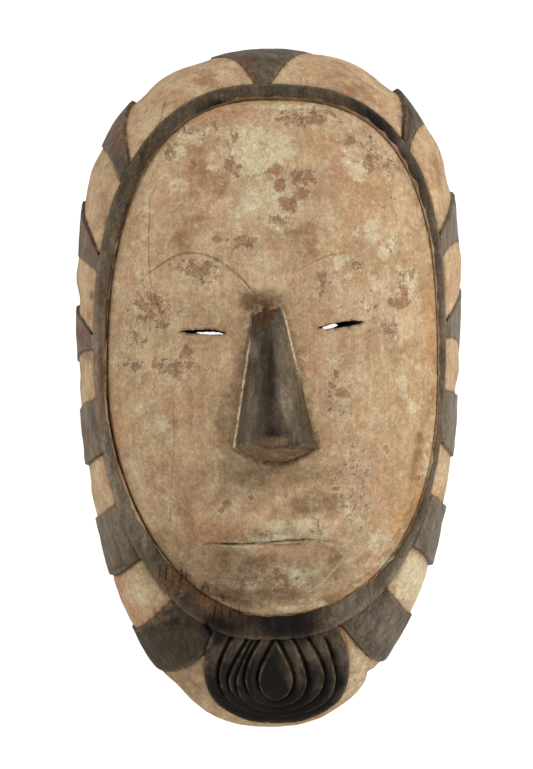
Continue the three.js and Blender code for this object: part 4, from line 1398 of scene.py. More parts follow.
    def carve_ridge(self, angle: Array, q: Array) -> Carving:
        """Carve the ridge, for angles in radians and shares of the way over it from the face."""
        part = Carving.blank(len(angle))
        radius, z = self.form.ridge_place(angle, q)
        z = z + at_angle(angle, RIDGE_FOOT_FILL) * bell(q, 0.16)
        part.base = np.column_stack([Sheet.lay(angle, radius), z])
        up, out = np.sin(math.pi * q), -np.cos(math.pi * q)
        joins = ramp(q, 0.72, 1.0)
        foot = self.carve_band(angle, np.zeros_like(angle))
        radial = np.column_stack([out * np.cos(angle), out * np.sin(angle), up])
        part.normal = mix(radial, foot.normal, joins[:, None])
        uneven = self.medium.at(part.base)
        starts = at_angle(angle, BLACK_STARTS) + 0.07 * uneven + 0.04 * self.facets.at(part.base)
        black = np.minimum(q - starts, 1.0 - q) * self.sheet.ridge_span(angle)
        part.marks[Mark.INK] = np.maximum(black, mix(NO_INK, foot.marks[Mark.INK], q > 0.9))
        part.marks[Mark.WEAR] = 0.35 * bell(q - 0.8, 0.08)
        part.marks[Mark.PINK] += 0.35
        part.marks[Mark.GREY] = at_angle(angle, RIDGE_GREY) * ramp(q, 0.2, 0.34)
        crown = at_angle(angle, CROWN_BROWN)
        part.marks[Mark.BROWN] = np.maximum(crown, 0.6 * ramp(q, 0.28, 0.36))
        part.marks[Mark.DIRT] = np.maximum(1.1 * crown, 0.15)
        for line in RIDGE_LINES:
            part.lift(line.kind, line.cover(angle, q))
        part.relief = 0.14 * uneven * up + foot.relief * joins
        return part

    def carve_band(self, angle: Array, s: Array) -> Carving:
        """Carve the side band, for angles in radians and shares of the way from the ridge to the rim."""
        form, foot = self.form, self.beard_foot
        part = Carving.blank(len(angle))
        part.base, part.normal = form.band_smooth(angle, s), form.band_normal(angle, s)
        radius = polar(part.base[:, 0], part.base[:, 1])[1]
        from_ridge = s * self.sheet.band_span(angle)
        height, beyond = form.block_raise(angle, s, radius)
        beyond_tab = self.carve_beard(part)
        on_tab = beyond_tab < foot
        pale = np.clip(beyond / form.foot, 0.0, 1.0) * np.clip(beyond_tab / foot, 0.0, 1.0)
        relief = np.where(on_tab, np.maximum(part.relief, height * pale), height)
        part.relief = relief + sum(swell.height(angle, s) for swell in BAND_SWELLS) * pale
        ink = np.maximum(form.foot - beyond, foot * 0.5 - beyond_tab)
        part.marks[Mark.INK] = np.maximum(ink, -from_ridge)
        part.lift(Mark.WEAR, 0.7 * bell(beyond, 0.8) * (beyond_tab > 0.0))
        # painted shade at the feet of the blocks and the beard, and along the foot of the ridge
        outside = np.minimum(np.abs(beyond - form.foot), np.abs(beyond_tab - foot))
        at_ridge = bell(from_ridge, 1.0) * np.clip(np.minimum(beyond, beyond_tab), 0.0, 1.0)
        part.lift(Mark.RECESS, np.maximum(0.8 * bell(outside, 0.7), 0.75 * at_ridge))
        part.marks[Mark.GREY] = at_angle(angle, BLOCK_GREY) * (beyond < 2.0) * ~on_tab
        # painted shade where the band turns down to the rim and near the ridge, with some soiling
        part.marks[Mark.DIRT] = np.maximum(0.5 * ramp(s, 0.9, 1.0), 0.35 * bell(from_ridge, 5.0))
        return part

    def carve_beard(self, part: Carving) -> Array:
        """Raise the beard out of the side band, groove it, and return the distance beyond its edge."""
        beard = self.form.beard
        x, y, _ = part.base.T
        beyond = np.full(x.shape, FAR_AWAY)
        near = (np.abs(x - beard.x) < 60.0) & (y < -120.0)
        beyond[near] = beard.beyond_edge(x[near], y[near])
        part.relief = beard.raise_by * np.clip(1.0 - beyond / self.beard_foot, 0.0, 1.0)
        part.marks[Mark.WEAR] = 0.35 * bell(np.minimum(beyond, 0.0), 1.0) * (beyond < self.beard_foot)
        inside = np.flatnonzero(beyond < 0.0)
        x, y = x[inside], y[inside]
        drop = np.zeros(len(inside))
        lip = np.clip(-beyond[inside] / 1.2, 0.0, 1.0)
        rubbed = np.clip(0.9 + 0.8 * self.facets.at(part.base[inside]), 0.2, 1.3)
        rubbed *= 0.56 * (1.0 - 0.92 * ramp(-y, 160.0, 180.0))
        for groove in beard.grooves:
            distance = groove.distance(x, y)
            within = inside_loop(x, y, groove.path)
            gentle = np.clip(1.0 - distance / 3.4, 0.0, 1.0) ** 1.3
            steep = np.clip(1.0 - distance / (groove.half_width * 0.8), 0.0, 1.0)
            drop = np.maximum(drop, groove.depth * np.where(within, steep, gentle) * lip)
            part.lift(Mark.WEAR, bell(distance - 1.1, 0.42) * within * rubbed, inside)
            # painted shade in the cuts between the locks
            shade = np.where(within, steep**0.5, np.clip(1.5 - distance / 1.5, 0.0, 1.0))
            part.lift(Mark.RECESS, shade * lip, inside)
        part.relief[inside] -= drop
        return beyond


@dataclass
class HollowBack:
    """The plain hollow behind the carving, an even wall's thickness in."""

    form: CarvedForm
    step: float = 3.4
    face_share: float = 0.82
    inner_share: float = 0.66
    span: float = 78.0
    corners: int = 330

    def __post_init__(self) -> None:
        """Fix the unevenness of the gouged hollow."""
        self.broad = HandNoise(21, 26.0)
        self.gouge = HandNoise(22, 9.0)

    def surface(self) -> Surface:
        """Build the hollow as a sheet of its own, open at the same eye slits."""
        cutter = Cutter()
        turn = np.linspace(0.0, TURN, self.corners, endpoint=False)
        cutter.line(Sheet.lay(turn, self.start(turn) + self.span), closed=True)
        for slit in self.form.slits:
            cutter.line(slit.back.loop(), closed=True)
        field = hex_field((-190.0, -225.0), (190.0, 245.0), self.step)
        angle, radius = polar(*field.T)
        cutter.fill(field[radius < self.start(angle) + self.span - 0.6 * self.step], 0.6 * self.step)
        flat, triangles = cutter.cut()
        triangles = without_openings(flat, triangles, [slit.back.loop() for slit in self.form.slits])
        places = self.place(flat)
        # darker towards the back rim
        marks = {Mark.DIRT: ramp(-places[:, 2], -30.0, 0.0)}
        return Surface(places, triangles[:, ::-1], marks)

    def start(self, angle: Array) -> Array:
        """Return how far the hollow's face part reaches."""
        return RIDGE_INSIDE.radius(angle) * self.face_share

    def face_place(self, angle: Array, radius: Array) -> Array:
        """Return the height of the hollow behind the face."""
        rho = radius / RIDGE_INSIDE.radius(angle)
        return self.form.face_dome(*spread(angle, radius)) - self.form.wall * mix(1.0, 1.25, rho)

    def knots(self, angle: Array) -> Array:
        """Return radius and height of the wall's section at each angle, from the face to the rim."""
        inside, outside = RIDGE_INSIDE.radius(angle), RIDGE_OUTSIDE.radius(angle)
        rows = []
        for share in (self.inner_share, self.face_share):
            rows.append((inside * share, self.face_place(angle, inside * share)))
        corner = mix(inside, outside, 0.5) - self.form.wall * 0.8
        level = self.form.ridge_level(spread(angle, corner)[1])
        rows.append((corner, level - self.form.wall * 0.6))
        for s in (0.36, 0.55, 0.75, 0.9, 1.0):
            share = np.full_like(angle, s)
            inner = self.form.band_smooth(angle, share) - self.form.wall * self.form.band_normal(angle, share)
            rows.append((polar(inner[:, 0], inner[:, 1])[1], np.maximum(inner[:, 2], 0.0)))
        return np.stack([np.stack(row, axis=1) for row in rows], axis=1)

    def place(self, flat: Array) -> Array:
        """Set every place of the hollow's sheet in space."""
        angle, radius = polar(*flat.T)
        start = self.start(angle)
        along = np.clip((radius - start) / self.span, 0.0, 1.0)
        knots = self.knots(angle)
        last = knots.shape[1] - 1
        stretch = along * (last - 1)
        first = np.minimum(stretch.astype(int), last - 2)
        share = (stretch - first)[:, None]
        row = np.arange(len(flat))
        a, b, c = (knots[row, first + i] for i in range(3))
        d = knots[row, np.minimum(first + 3, last)]
        wall = curve_between(a, b, c, d, share)
        on_face = radius <= start
        r = np.where(on_face, radius, wall[:, 0])
        z = np.where(on_face, self.face_place(angle, radius), wall[:, 1])
        places = np.column_stack([Sheet.lay(angle, r), z])
        uneven = 0.5 * self.broad.at(places) + 0.3 * self.gouge.at(places)
        on_wall = ramp(along, 0.1, 0.35)
        places[:, 2] += uneven * (1.0 - on_wall)
        sideways = uneven * on_wall * (1.0 - ramp(along, 0.9, 1.0))
        places[:, :2] += np.stack([sideways * np.cos(angle), sideways * np.sin(angle)], axis=1)
        places[:, 2] = np.maximum(places[:, 2], 0.0)
        return places


def strip(outer: Array, outer_turn: Array, inner: Array, inner_turn: Array) -> Array:
    """Join two closed rows of corners around the same middle with triangles.

    Args:
        outer: Corner numbers of one row, in order of their angles.
        outer_turn: The angles of those corners.
        inner: Corner numbers of the other row.
        inner_turn: The angles of those corners.

    Returns:
        The triangles.
    """
    outer, inner = np.append(outer, outer[0]), np.append(inner, inner[0])
    outer_turn = np.append(outer_turn, (outer_turn[0] + TURN, np.inf))
    inner_turn = np.append(inner_turn, (inner_turn[0] + TURN, np.inf))
    triangles = []
    i = j = 0
    while i + 1 < len(outer) or j + 1 < len(inner):
        if outer_turn[i + 1] <= inner_turn[j + 1]:
            triangles.append((outer[i], outer[i + 1], inner[j]))
            i += 1
        else:
            triangles.append((outer[i], inner[j + 1], inner[j]))
            j += 1
    return np.array(triangles)


def paint(red: int, green: int, blue: int) -> tuple[float, float, float, float]:
    """Turn a colour as seen on a screen, 0 to 255, into the linear colour that a shader takes."""

    def straighten(value: int) -> float:
        share = value / 255.0
        return share / 12.92 if share <= 0.04045 else ((share + 0.055) / 1.055) ** 2.4

    return straighten(red), straighten(green), straighten(blue), 1.0


Node = bpy.types.Node
Socket = bpy.types.NodeSocket
Value = Socket | float | tuple


class Wiring:
    """Adds nodes to one material or group and joins them."""

    def __init__(self, tree: bpy.types.NodeTree) -> None:
        """Start on an empty tree."""
        self.tree = tree
        tree.nodes.clear()
        self.count = 0

    def add(self, kind: str, inputs: dict[str | int, Value] | None = None, **settings: object) -> Node:
        """Add a node.

        Args:
            kind: Blender's name for the node.
            inputs: Values or sockets for its inputs, by name or number.
            settings: The node's own settings.

        Returns:
            The node.
        """
        node = self.tree.nodes.new(kind)
        node.location = (220.0 * (self.count % 9), -260.0 * (self.count // 9))
        self.count += 1
        for name, value in settings.items():
            setattr(node, name, value)
        for key, value in (inputs or {}).items():
            self.feed(node.inputs[key], value)
        return node

    def feed(self, socket: Socket, value: Value) -> None:
        """Set a socket to a value, or join another socket to it."""
        if isinstance(value, bpy.types.NodeSocket):
            self.tree.links.new(value, socket)
        else:
            socket.default_value = value

    def math(self, operation: str, *values: Value, clamp: bool = False) -> Socket:
        """Return the result of one Math node."""
        inputs = dict(enumerate(values))
        return self.add("ShaderNodeMath", inputs, operation=operation, use_clamp=clamp).outputs[0]

    times = partialmethod(math, "MULTIPLY")
    plus = partialmethod(math, "ADD")
    minus = partialmethod(math, "SUBTRACT")

    def blend(self, share: Value, low: Value, high: Value, way: str = "MIX") -> Socket:
        """Return one colour laid over another in the given share."""
        node = self.add("ShaderNodeMix", {0: share, 6: low, 7: high}, data_type="RGBA", blend_type=way)
        return node.outputs[2]

    def noise(self, place: Socket, scale: Value, detail: float = 4.0, rough: float = 0.6) -> Socket:
        """Return cloudy noise from 0 to 1, with its crests 1/scale of a metre apart."""
        inputs = {"Vector": place, "Scale": scale, "Detail": detail, "Roughness": rough}
        return self.add("ShaderNodeTexNoise", inputs).outputs[0]

    def rise(self, value: Value, start: Value, end: Value, low: float = 0.0, high: float = 1.0) -> Socket:
        """Return a smooth rise from low to high while the value goes from start to end."""
        inputs = {0: value, 1: start, 2: end, 3: low, 4: high}
        return self.add("ShaderNodeMapRange", inputs, interpolation_type="SMOOTHSTEP").outputs[0]

    def mark(self, kind: Mark) -> Socket:
        """Return a mark that the mesh carries on its corners."""
        return self.add("ShaderNodeAttribute", attribute_name=kind.value).outputs["Fac"]

    def marked(self, cloud: Socket, kind: Mark, reach: float, start: float, end: float) -> Socket:
        """Return where a cloud, raised by a mark, goes from a start to an end."""
        return self.rise(self.plus(cloud, self.times(self.mark(kind), reach)), start, end)

    def laid(self, colour: Value, share: Value, paint_over: Value, most: float = 1.0) -> Socket:
        """Return a colour with another laid over it by a share, and at most so much of it."""
        return self.blend(self.times(share, most, clamp=True), colour, paint_over)

    def shaded(self, colour: Value, *shares: Value) -> Socket:
        """Return a colour made darker or lighter by each share in turn."""
        for share in shares:
            grey = self.add("ShaderNodeCombineColor", {0: share, 1: share, 2: share}).outputs[0]
            colour = self.blend(1.0, colour, grey, "MULTIPLY")
        return colour

    def stretched(self, place: Socket, scale: tuple[float, float, float]) -> Socket:
        """Return places stretched along each axis, for patterns that run with the grain."""
        return self.add("ShaderNodeMapping", {"Vector": place, "Scale": scale}).outputs[0]

    def surface(self, colour: Value, rough: Value, height: Value, strength: float, shine: float) -> None:
        """Join colour, roughness and relief into the surface of a material.

        Args:
            colour: The base colour.
            rough: The roughness.
            height: The relief in metres.
            strength: How strongly the relief shows.
            shine: The specular level.
        """
        bump = self.add("ShaderNodeBump", {"Height": height, "Distance": 1.0, "Strength": strength})
        shader = self.add("ShaderNodeBsdfPrincipled", {"Base Color": colour, "Roughness": rough})
        self.feed(shader.inputs["Normal"], bump.outputs[0])
        shader.inputs["Specular IOR Level"].default_value = shine
        self.finish(shader)

    def finish(self, shader: Node) -> None:
        """Make a shader the surface of the material."""
        self.feed(self.add("ShaderNodeOutputMaterial").inputs["Surface"], shader.outputs[0])


def new_material(name: str) -> tuple[bpy.types.Material, Wiring]:
    """Make an empty material and the wiring that fills it."""
    material = bpy.data.materials.new(name)
    material.use_nodes = True
    return material, Wiring(material.node_tree)


class SharedEffect:
    """A node group that several materials use."""

    def __init__(self, name: str, inputs: dict[str, float], outputs: tuple[str, ...]) -> None:
        """Make the group with its named sockets, the first of which takes the place.

        Args:
            name: The group's name.
            inputs: The starting values of its other inputs.
            outputs: The names of its outputs, all plain values.
        """
        self.tree = bpy.data.node_groups.new(name, "ShaderNodeTree")
        self.tree.interface.new_socket("Place", in_out="INPUT", socket_type="NodeSocketVector")
        for label, value in inputs.items():
            socket = self.tree.interface.new_socket(label, in_out="INPUT", socket_type="NodeSocketFloat")
            socket.default_value = value
        for label in outputs:
            self.tree.interface.new_socket(label, in_out="OUTPUT", socket_type="NodeSocketFloat")
        self.wiring = Wiring(self.tree)
        self.given = self.wiring.add("NodeGroupInput").outputs
        self.result = self.wiring.add("NodeGroupOutput").inputs

    def use(self, wiring: Wiring, **inputs: Value) -> Node:
        """Place the group in a material."""
        return wiring.add("ShaderNodeGroup", inputs, node_tree=self.tree)


class RaggedEdge(SharedEffect):
    """Turns a distance in millimetres from an edge into a mask with a frayed edge."""

    def __init__(self) -> None:
        """Build the group."""
        inputs = {"Distance": 0.0, "Fray": 0.5, "Scale": 300.0, "Softness": 0.25}
        super().__init__("ragged edge", inputs, ("Mask",))
        w, given = self.wiring, self.given
        noise = w.noise(given["Place"], given["Scale"], 5.0, 0.7)
        shift = w.times(w.minus(noise, 0.5), w.times(given["Fray"], 2.5))
        frayed = w.plus(given["Distance"], shift)
        low = w.times(given["Softness"], -1.0)
        w.feed(self.result["Mask"], w.rise(frayed, low, given["Softness"]))


class WoodGrain(SharedEffect):
    """Fine fibres that run along the mask."""

    def __init__(self) -> None:
        """Build the group."""
        super().__init__("wood grain", {"Scale": 1.0}, ("Fibre",))
        w, given = self.wiring, self.given
        place = w.stretched(given["Place"], (1.0, 0.045, 1.0))
        w.feed(self.result["Fibre"], w.noise(place, w.times(given["Scale"], 420.0), 6.0, 0.65))


class Flaking(SharedEffect):
    """Islands where a thin coat has come off, dark along the inside of their edge and light outside it."""

    def __init__(self) -> None:
        """Build the group."""
        super().__init__("flaking", {"Density": 0.0, "Scale": 100.0}, ("Mask", "Edge", "Lip"))
        w, given = self.wiring, self.given
        cloud = w.rise(w.noise(given["Place"], given["Scale"], 10.0, 0.75), 0.1, 0.9)
        over = w.minus(cloud, w.minus(0.8, w.times(given["Density"], 0.28)))
        fine = w.noise(given["Place"], w.times(given["Scale"], 1.9), 8.0, 0.8)
        broken = w.rise(fine, 0.38, 0.56, 0.3, 1.0)
        w.feed(self.result["Mask"], w.times(w.rise(over, 0.0, 0.05), broken))
        for label, shift in (("Edge", -0.02), ("Lip", 0.03)):
            away = w.math("ABSOLUTE", w.plus(over, shift))
            w.feed(self.result[label], w.minus(1.0, w.times(away, 28.0), clamp=True))


class ShadeAndGrime(SharedEffect):
    """Darkening where a mark asks for it, broken into cloudy patches: painted shade in the front's recesses,
    and darker towards the back rim in the hollow.
    """

    def __init__(self) -> None:
        """Build the group."""
        super().__init__("shade_and_grime", {"Recess": 0.0, "Amount": 0.5}, ("Mask",))
        w, given = self.wiring, self.given
        broken = w.rise(w.noise(given["Place"], 170.0, 6.0, 0.65), 0.25, 0.7)
        settled_and_shaded = w.times(given["Recess"], w.plus(0.45, w.times(broken, 0.75)))
        w.feed(self.result["Mask"], w.times(settled_and_shaded, given["Amount"], clamp=True))


class Effects:
    """The node groups shared by the materials."""

    def __init__(self) -> None:
        """Build each group once."""
        self.ragged = RaggedEdge()
        self.grain = WoodGrain()
        self.flaking = Flaking()
        self.shade_and_grime = ShadeAndGrime()

    def begin(self, name: str, grain_scale: float) -> tuple[bpy.types.Material, Wiring, Socket, Socket]:
        """Begin a wooden material.

        Args:
            name: The material's name.
            grain_scale: How fine its fibres are.

        Returns:
            The material, its wiring, the place on the piece, and the fibres.
        """
        material, w = new_material(name)
        place = w.add("ShaderNodeTexCoord").outputs["Object"]
        return material, w, place, self.grain.use(w, Place=place, Scale=grain_scale).outputs["Fibre"]


@dataclass(frozen=True)
class PaintedFront:
    """Clay-coloured paint, stained and flaked, with blackened ridge, blocks, nose and beard, painted shade in
    recesses and under the nose, and painted highlights on the black.
    """

    clay: tuple = paint(208, 183, 146)
    clay_shade: tuple = paint(184, 152, 116)
    pink: tuple = paint(190, 144, 112)
    pale: tuple = paint(218, 204, 168)
    brown: tuple = paint(156, 115, 80)
    ochre: tuple = paint(192, 150, 102)
    flaked: tuple = paint(168, 122, 90)
    # old soiling, and painted shade under the nose, on the chin and near the rim
    dirt_and_shade: tuple = paint(104, 82, 56)
    lip: tuple = paint(216, 196, 166)
    chalk: tuple = paint(228, 216, 190)
    # rubbed bare lines, and the painted highlight on the mouth's lower lip
    bare: tuple = paint(234, 208, 176)
    # painted shade in recesses on the clay, also the dark rim of flakes
    groove: tuple = paint(84, 50, 28)
    # dark cracks, and painted shadow under the nose, in dents, round the eye slits and in the mouth
    crack_and_shadow: tuple = paint(44, 28, 17)
    black: tuple = paint(64, 57, 46)
    black_warm: tuple = paint(80, 64, 46)
    # greyed black, and painted highlights on the nose and the lower right ridge
    grey: tuple = paint(130, 116, 98)
    worn: tuple = paint(106, 70, 46)
    rubbed: tuple = paint(148, 122, 94)
    dust: tuple = paint(124, 116, 92)
    soot: tuple = paint(14, 9, 6)
    # painted shade in recesses on the black
    deep: tuple = paint(14, 10, 8)

    def material(self, effects: Effects) -> bpy.types.Material:
        """Build the material."""
        material, w, place, fibre = effects.begin("painted front", 1.0)
        clay, flaked = self.clay_coat(w, place, fibre, effects)
        black = self.black_coat(w, place, fibre)
        ink = w.mark(Mark.INK)
        edge = effects.ragged.use(w, Place=place, Distance=ink, Fray=1.0, Scale=260.0, Softness=0.22)
        inked = edge.outputs["Mask"]
        colour = w.blend(inked, clay, black)
        # painted shade in recesses: brown on the clay, near black on the black
        recess = effects.shade_and_grime.use(w, Place=place, Recess=w.mark(Mark.RECESS), Amount=1.0).outputs["Mask"]
        colour = w.laid(colour, recess, w.blend(inked, self.groove, self.deep), 0.92)
        worn_away = w.rise(w.noise(place, 240.0, 8.0, 0.78), 0.38, 0.58, 0.1, 1.0)
        # rubbed bare lines, and the painted highlight on the mouth's lower lip
        colour = w.laid(colour, w.times(w.mark(Mark.BARE), worn_away), self.bare, 0.85)
        # dark cracks, and painted shadow under the nose, in dents, round the slits and in the mouth
        colour = w.laid(colour, w.times(w.mark(Mark.DARK), worn_away), self.crack_and_shadow, 0.9)
        cloud = w.noise(place, 120.0, 5.0, 0.6)
        clay_rough = w.rise(cloud, 0.2, 0.8, 0.62, 0.8)
        matt = w.minus(w.mark(Mark.SOOT), w.mark(Mark.GREY))
        black_rough = w.rise(w.plus(cloud, w.times(matt, 0.35)), 0.0, 0.8, 0.3, 0.72)
        both_rough = {0: inked, 2: clay_rough, 3: black_rough}
        rough = w.add("ShaderNodeMix", both_rough, data_type="FLOAT").outputs[0]
        height = w.times(w.noise(place, 95.0, 3.0, 0.5), 0.0004)
        height = w.plus(height, w.times(w.noise(place, 520.0, 4.0, 0.6), 0.00012))
        for share, relief in ((fibre, 0.00018), (inked, 0.00012), (flaked, -0.00022)):
            height = w.plus(height, w.times(share, relief))
        w.surface(colour, rough, height, 0.9, 0.2)
        return material

    def clay_coat(self, w: Wiring, place: Socket, fibre: Socket, effects: Effects) -> tuple[Socket, Socket]:
        """Return the colour of the pale coat, and where it has flaked off."""
        colour = w.blend(w.rise(w.noise(place, 40.0, 8.0, 0.7), 0.36, 0.64), self.clay, self.clay_shade)
        mottled = w.noise(w.stretched(place, (1.1, 0.7, 1.0)), 105.0, 7.0, 0.7)
        colour = w.laid(colour, w.rise(mottled, 0.5, 0.66), self.pink, 0.5)
        colour = w.laid(colour, w.rise(mottled, 0.46, 0.34), self.lip, 0.4)
        across = w.stretched(place, (1.0, 0.8, 1.3))
        for kind, cloud, stain, start, end, most in (
            (Mark.PINK, w.noise(across, 58.0, 8.0, 0.72), self.pink, 0.46, 0.78, 0.75),
            (Mark.OCHRE, w.noise(place, 66.0, 8.0, 0.7), self.ochre, 0.56, 0.92, 0.75),
            (Mark.BROWN, w.noise(place, 80.0, 8.0, 0.7), self.brown, 0.56, 0.94, 0.85),
        ):
            colour = w.laid(colour, w.marked(cloud, kind, 0.3, start, end), stain, most)
        cream = w.plus(w.noise(place, 78.0, 9.0, 0.72), w.times(w.mark(Mark.PALE), 0.3))
        colour = w.laid(colour, w.rise(cream, 0.61, 0.71), self.pale, 0.74)
        chalky = w.marked(w.noise(place, 250.0, 8.0, 0.76), Mark.PALE, 0.14, 0.64, 0.74)
        colour = w.laid(colour, chalky, self.chalk, 0.7)
        density = w.plus(w.times(w.mark(Mark.FLAKED), 1.2), 0.14)
        flakes = effects.flaking.use(w, Place=place, Density=density, Scale=195.0)
        elsewhere = w.stretched(place, (1.0, 0.8, 1.1))
        crumbs = effects.flaking.use(w, Place=elsewhere, Density=density, Scale=370.0)
        for island, most in ((crumbs, 0.85), (flakes, 1.0)):
            colour = w.laid(colour, island.outputs["Lip"], self.chalk, 0.6 * most)
            colour = w.laid(colour, island.outputs["Mask"], self.flaked, 0.85 * most)
            colour = w.laid(colour, island.outputs["Edge"], self.groove, 0.22 * most)
        uneven = w.times(w.minus(w.noise(place, 230.0, 5.0, 0.7), 0.5), 1.7)
        ring = w.plus(w.mark(Mark.SPOT), uneven)
        outer = w.times(w.rise(ring, 0.3, 0.44), w.rise(ring, 0.7, 0.56))
        colour = w.laid(colour, outer, self.lip, 0.5)
        colour = w.laid(colour, w.rise(ring, 0.6, 0.8), self.brown, 0.6)
        # old soiling, and painted shade under the nose, on the chin and near the rim and ridge
        settled_and_shaded = w.marked(w.noise(place, 120.0, 8.0, 0.72), Mark.DIRT, 0.5, 0.44, 1.08)
        colour = w.laid(colour, settled_and_shaded, self.dirt_and_shade, 0.88)
        colour = w.laid(colour, w.rise(cream, 0.74, 0.8), self.pale, 0.42)
        fibrous = w.rise(fibre, 0.35, 0.72, 0.92, 1.05)
        fine = w.rise(w.noise(place, 330.0, 6.0, 0.75), 0.32, 0.68, 0.85, 1.14)
        grit = w.rise(w.noise(w.stretched(place, (1.0, 0.6, 1.0)), 950.0, 3.0, 0.6), 0.32, 0.68, 0.84, 1.12)
        drawn = w.rise(w.noise(w.stretched(place, (1.0, 0.18, 1.0)), 190.0, 5.0, 0.65), 0.3, 0.7, 0.91, 1.06)
        colour = w.shaded(colour, fibrous, fine, grit, drawn)
        specks = w.rise(w.noise(place, 520.0, 3.0, 0.6), 0.64, 0.74)
        return w.laid(colour, specks, self.dirt_and_shade, 0.45), flakes.outputs["Mask"]

    def black_coat(self, w: Wiring, place: Socket, fibre: Socket) -> Socket:
        """Return the colour of the blackened wood, rubbed brown along its edges."""
        colour = w.blend(w.rise(w.noise(place, 130.0, 8.0, 0.72), 0.38, 0.64), self.black, self.black_warm)
        spotted = w.noise(place, 120.0, 9.0, 0.74)
        smooth = w.noise(w.stretched(place, (1.0, 0.4, 1.0)), 90.0, 4.0, 0.5)
        for kind, cloud, stain, start, end, most in (
            # greyed paint, and painted highlights on the nose and the lower right ridge
            (Mark.GREY, smooth, self.grey, 0.46, 1.02, 0.82),
            (Mark.WORN, spotted, self.worn, 0.6, 0.92, 0.8),
            (Mark.SOOT, smooth, self.soot, 0.58, 0.93, 0.97),
        ):
            colour = w.laid(colour, w.marked(cloud, kind, 0.5, start, end), stain, most)
        rub = w.times(w.mark(Mark.WEAR), w.rise(w.noise(place, 90.0, 6.0, 0.7), 0.36, 0.6, 0.3, 1.0))
        colour = w.laid(colour, rub, self.rubbed, 0.75)
        dusty = w.minus(w.noise(place, 640.0, 4.0, 0.7), w.times(w.mark(Mark.SOOT), 0.3))
        colour = w.laid(colour, w.rise(dusty, 0.5, 0.7), self.dust, 0.3)
        fibrous = w.rise(fibre, 0.3, 0.75, 0.78, 1.2)
        fine = w.rise(w.noise(place, 480.0, 5.0, 0.75), 0.33, 0.67, 0.78, 1.2)
        drawn = w.rise(w.noise(w.stretched(place, (1.0, 0.14, 1.0)), 300.0, 5.0, 0.7), 0.32, 0.68, 0.78, 1.24)
        grit = w.rise(w.noise(w.stretched(place, (1.0, 0.5, 1.0)), 1000.0, 2.0, 0.6), 0.32, 0.68, 0.8, 1.2)
        return w.shaded(colour, fibrous, fine, drawn, grit)


@dataclass(frozen=True)
class ShadedSlitWall:
    """The walls of a slit, coloured near black as painted shade inside the narrow cut."""

    # painted shade: near black, a little browner along the grain
    soot: tuple = paint(26, 19, 14)
    brown: tuple = paint(52, 38, 28)

    def material(self, effects: Effects) -> bpy.types.Material:
        """Build the material."""
        material, w, place, fibre = effects.begin("shaded slit wall", 0.8)
        colour = w.blend(w.rise(fibre, 0.4, 0.75), self.soot, self.brown)
        rough = w.rise(w.noise(place, 160.0), 0.3, 0.7, 0.6, 0.8)
        w.surface(colour, rough, w.times(fibre, 0.0003), 0.8, 0.5)
        return material


@dataclass(frozen=True)
class BareHollow:
    """Bare wood behind the mask, gouged, darkened and dusty."""

    wood: tuple = paint(132, 101, 74)
    wood_shade: tuple = paint(98, 72, 52)
    dust: tuple = paint(150, 128, 102)
    # the colour the hollow darkens to towards the back rim
    dirt_and_shade: tuple = paint(52, 38, 28)

    def material(self, effects: Effects) -> bpy.types.Material:
        """Build the material."""
        material, w, place, fibre = effects.begin("bare hollow", 0.8)
        cloud = w.noise(place, 30.0, 5.0, 0.6)
        colour = w.blend(w.rise(cloud, 0.35, 0.68), self.wood, self.wood_shade)
        colour = w.blend(w.rise(fibre, 0.5, 0.8, 0.0, 0.45), colour, self.wood_shade)
        dusty = effects.flaking.use(w, Place=place, Density=0.5, Scale=60.0).outputs["Mask"]
        colour = w.blend(w.times(dusty, 0.4), colour, self.dust)
        # darker towards the back rim
        shade_and_grime = effects.shade_and_grime.use(w, Place=place, Recess=w.mark(Mark.DIRT), Amount=0.5).outputs["Mask"]
        colour = w.blend(shade_and_grime, colour, self.dirt_and_shade)
        cuts = w.add("ShaderNodeTexVoronoi", {"Vector": w.stretched(place, (1.0, 0.4, 1.0)), "Scale": 85.0})
        height = w.plus(w.times(cuts.outputs["Distance"], 0.0009), w.times(fibre, 0.0002))
        w.surface(colour, w.rise(cloud, 0.2, 0.8, 0.7, 0.88), height, 0.9, 0.35)
        return material


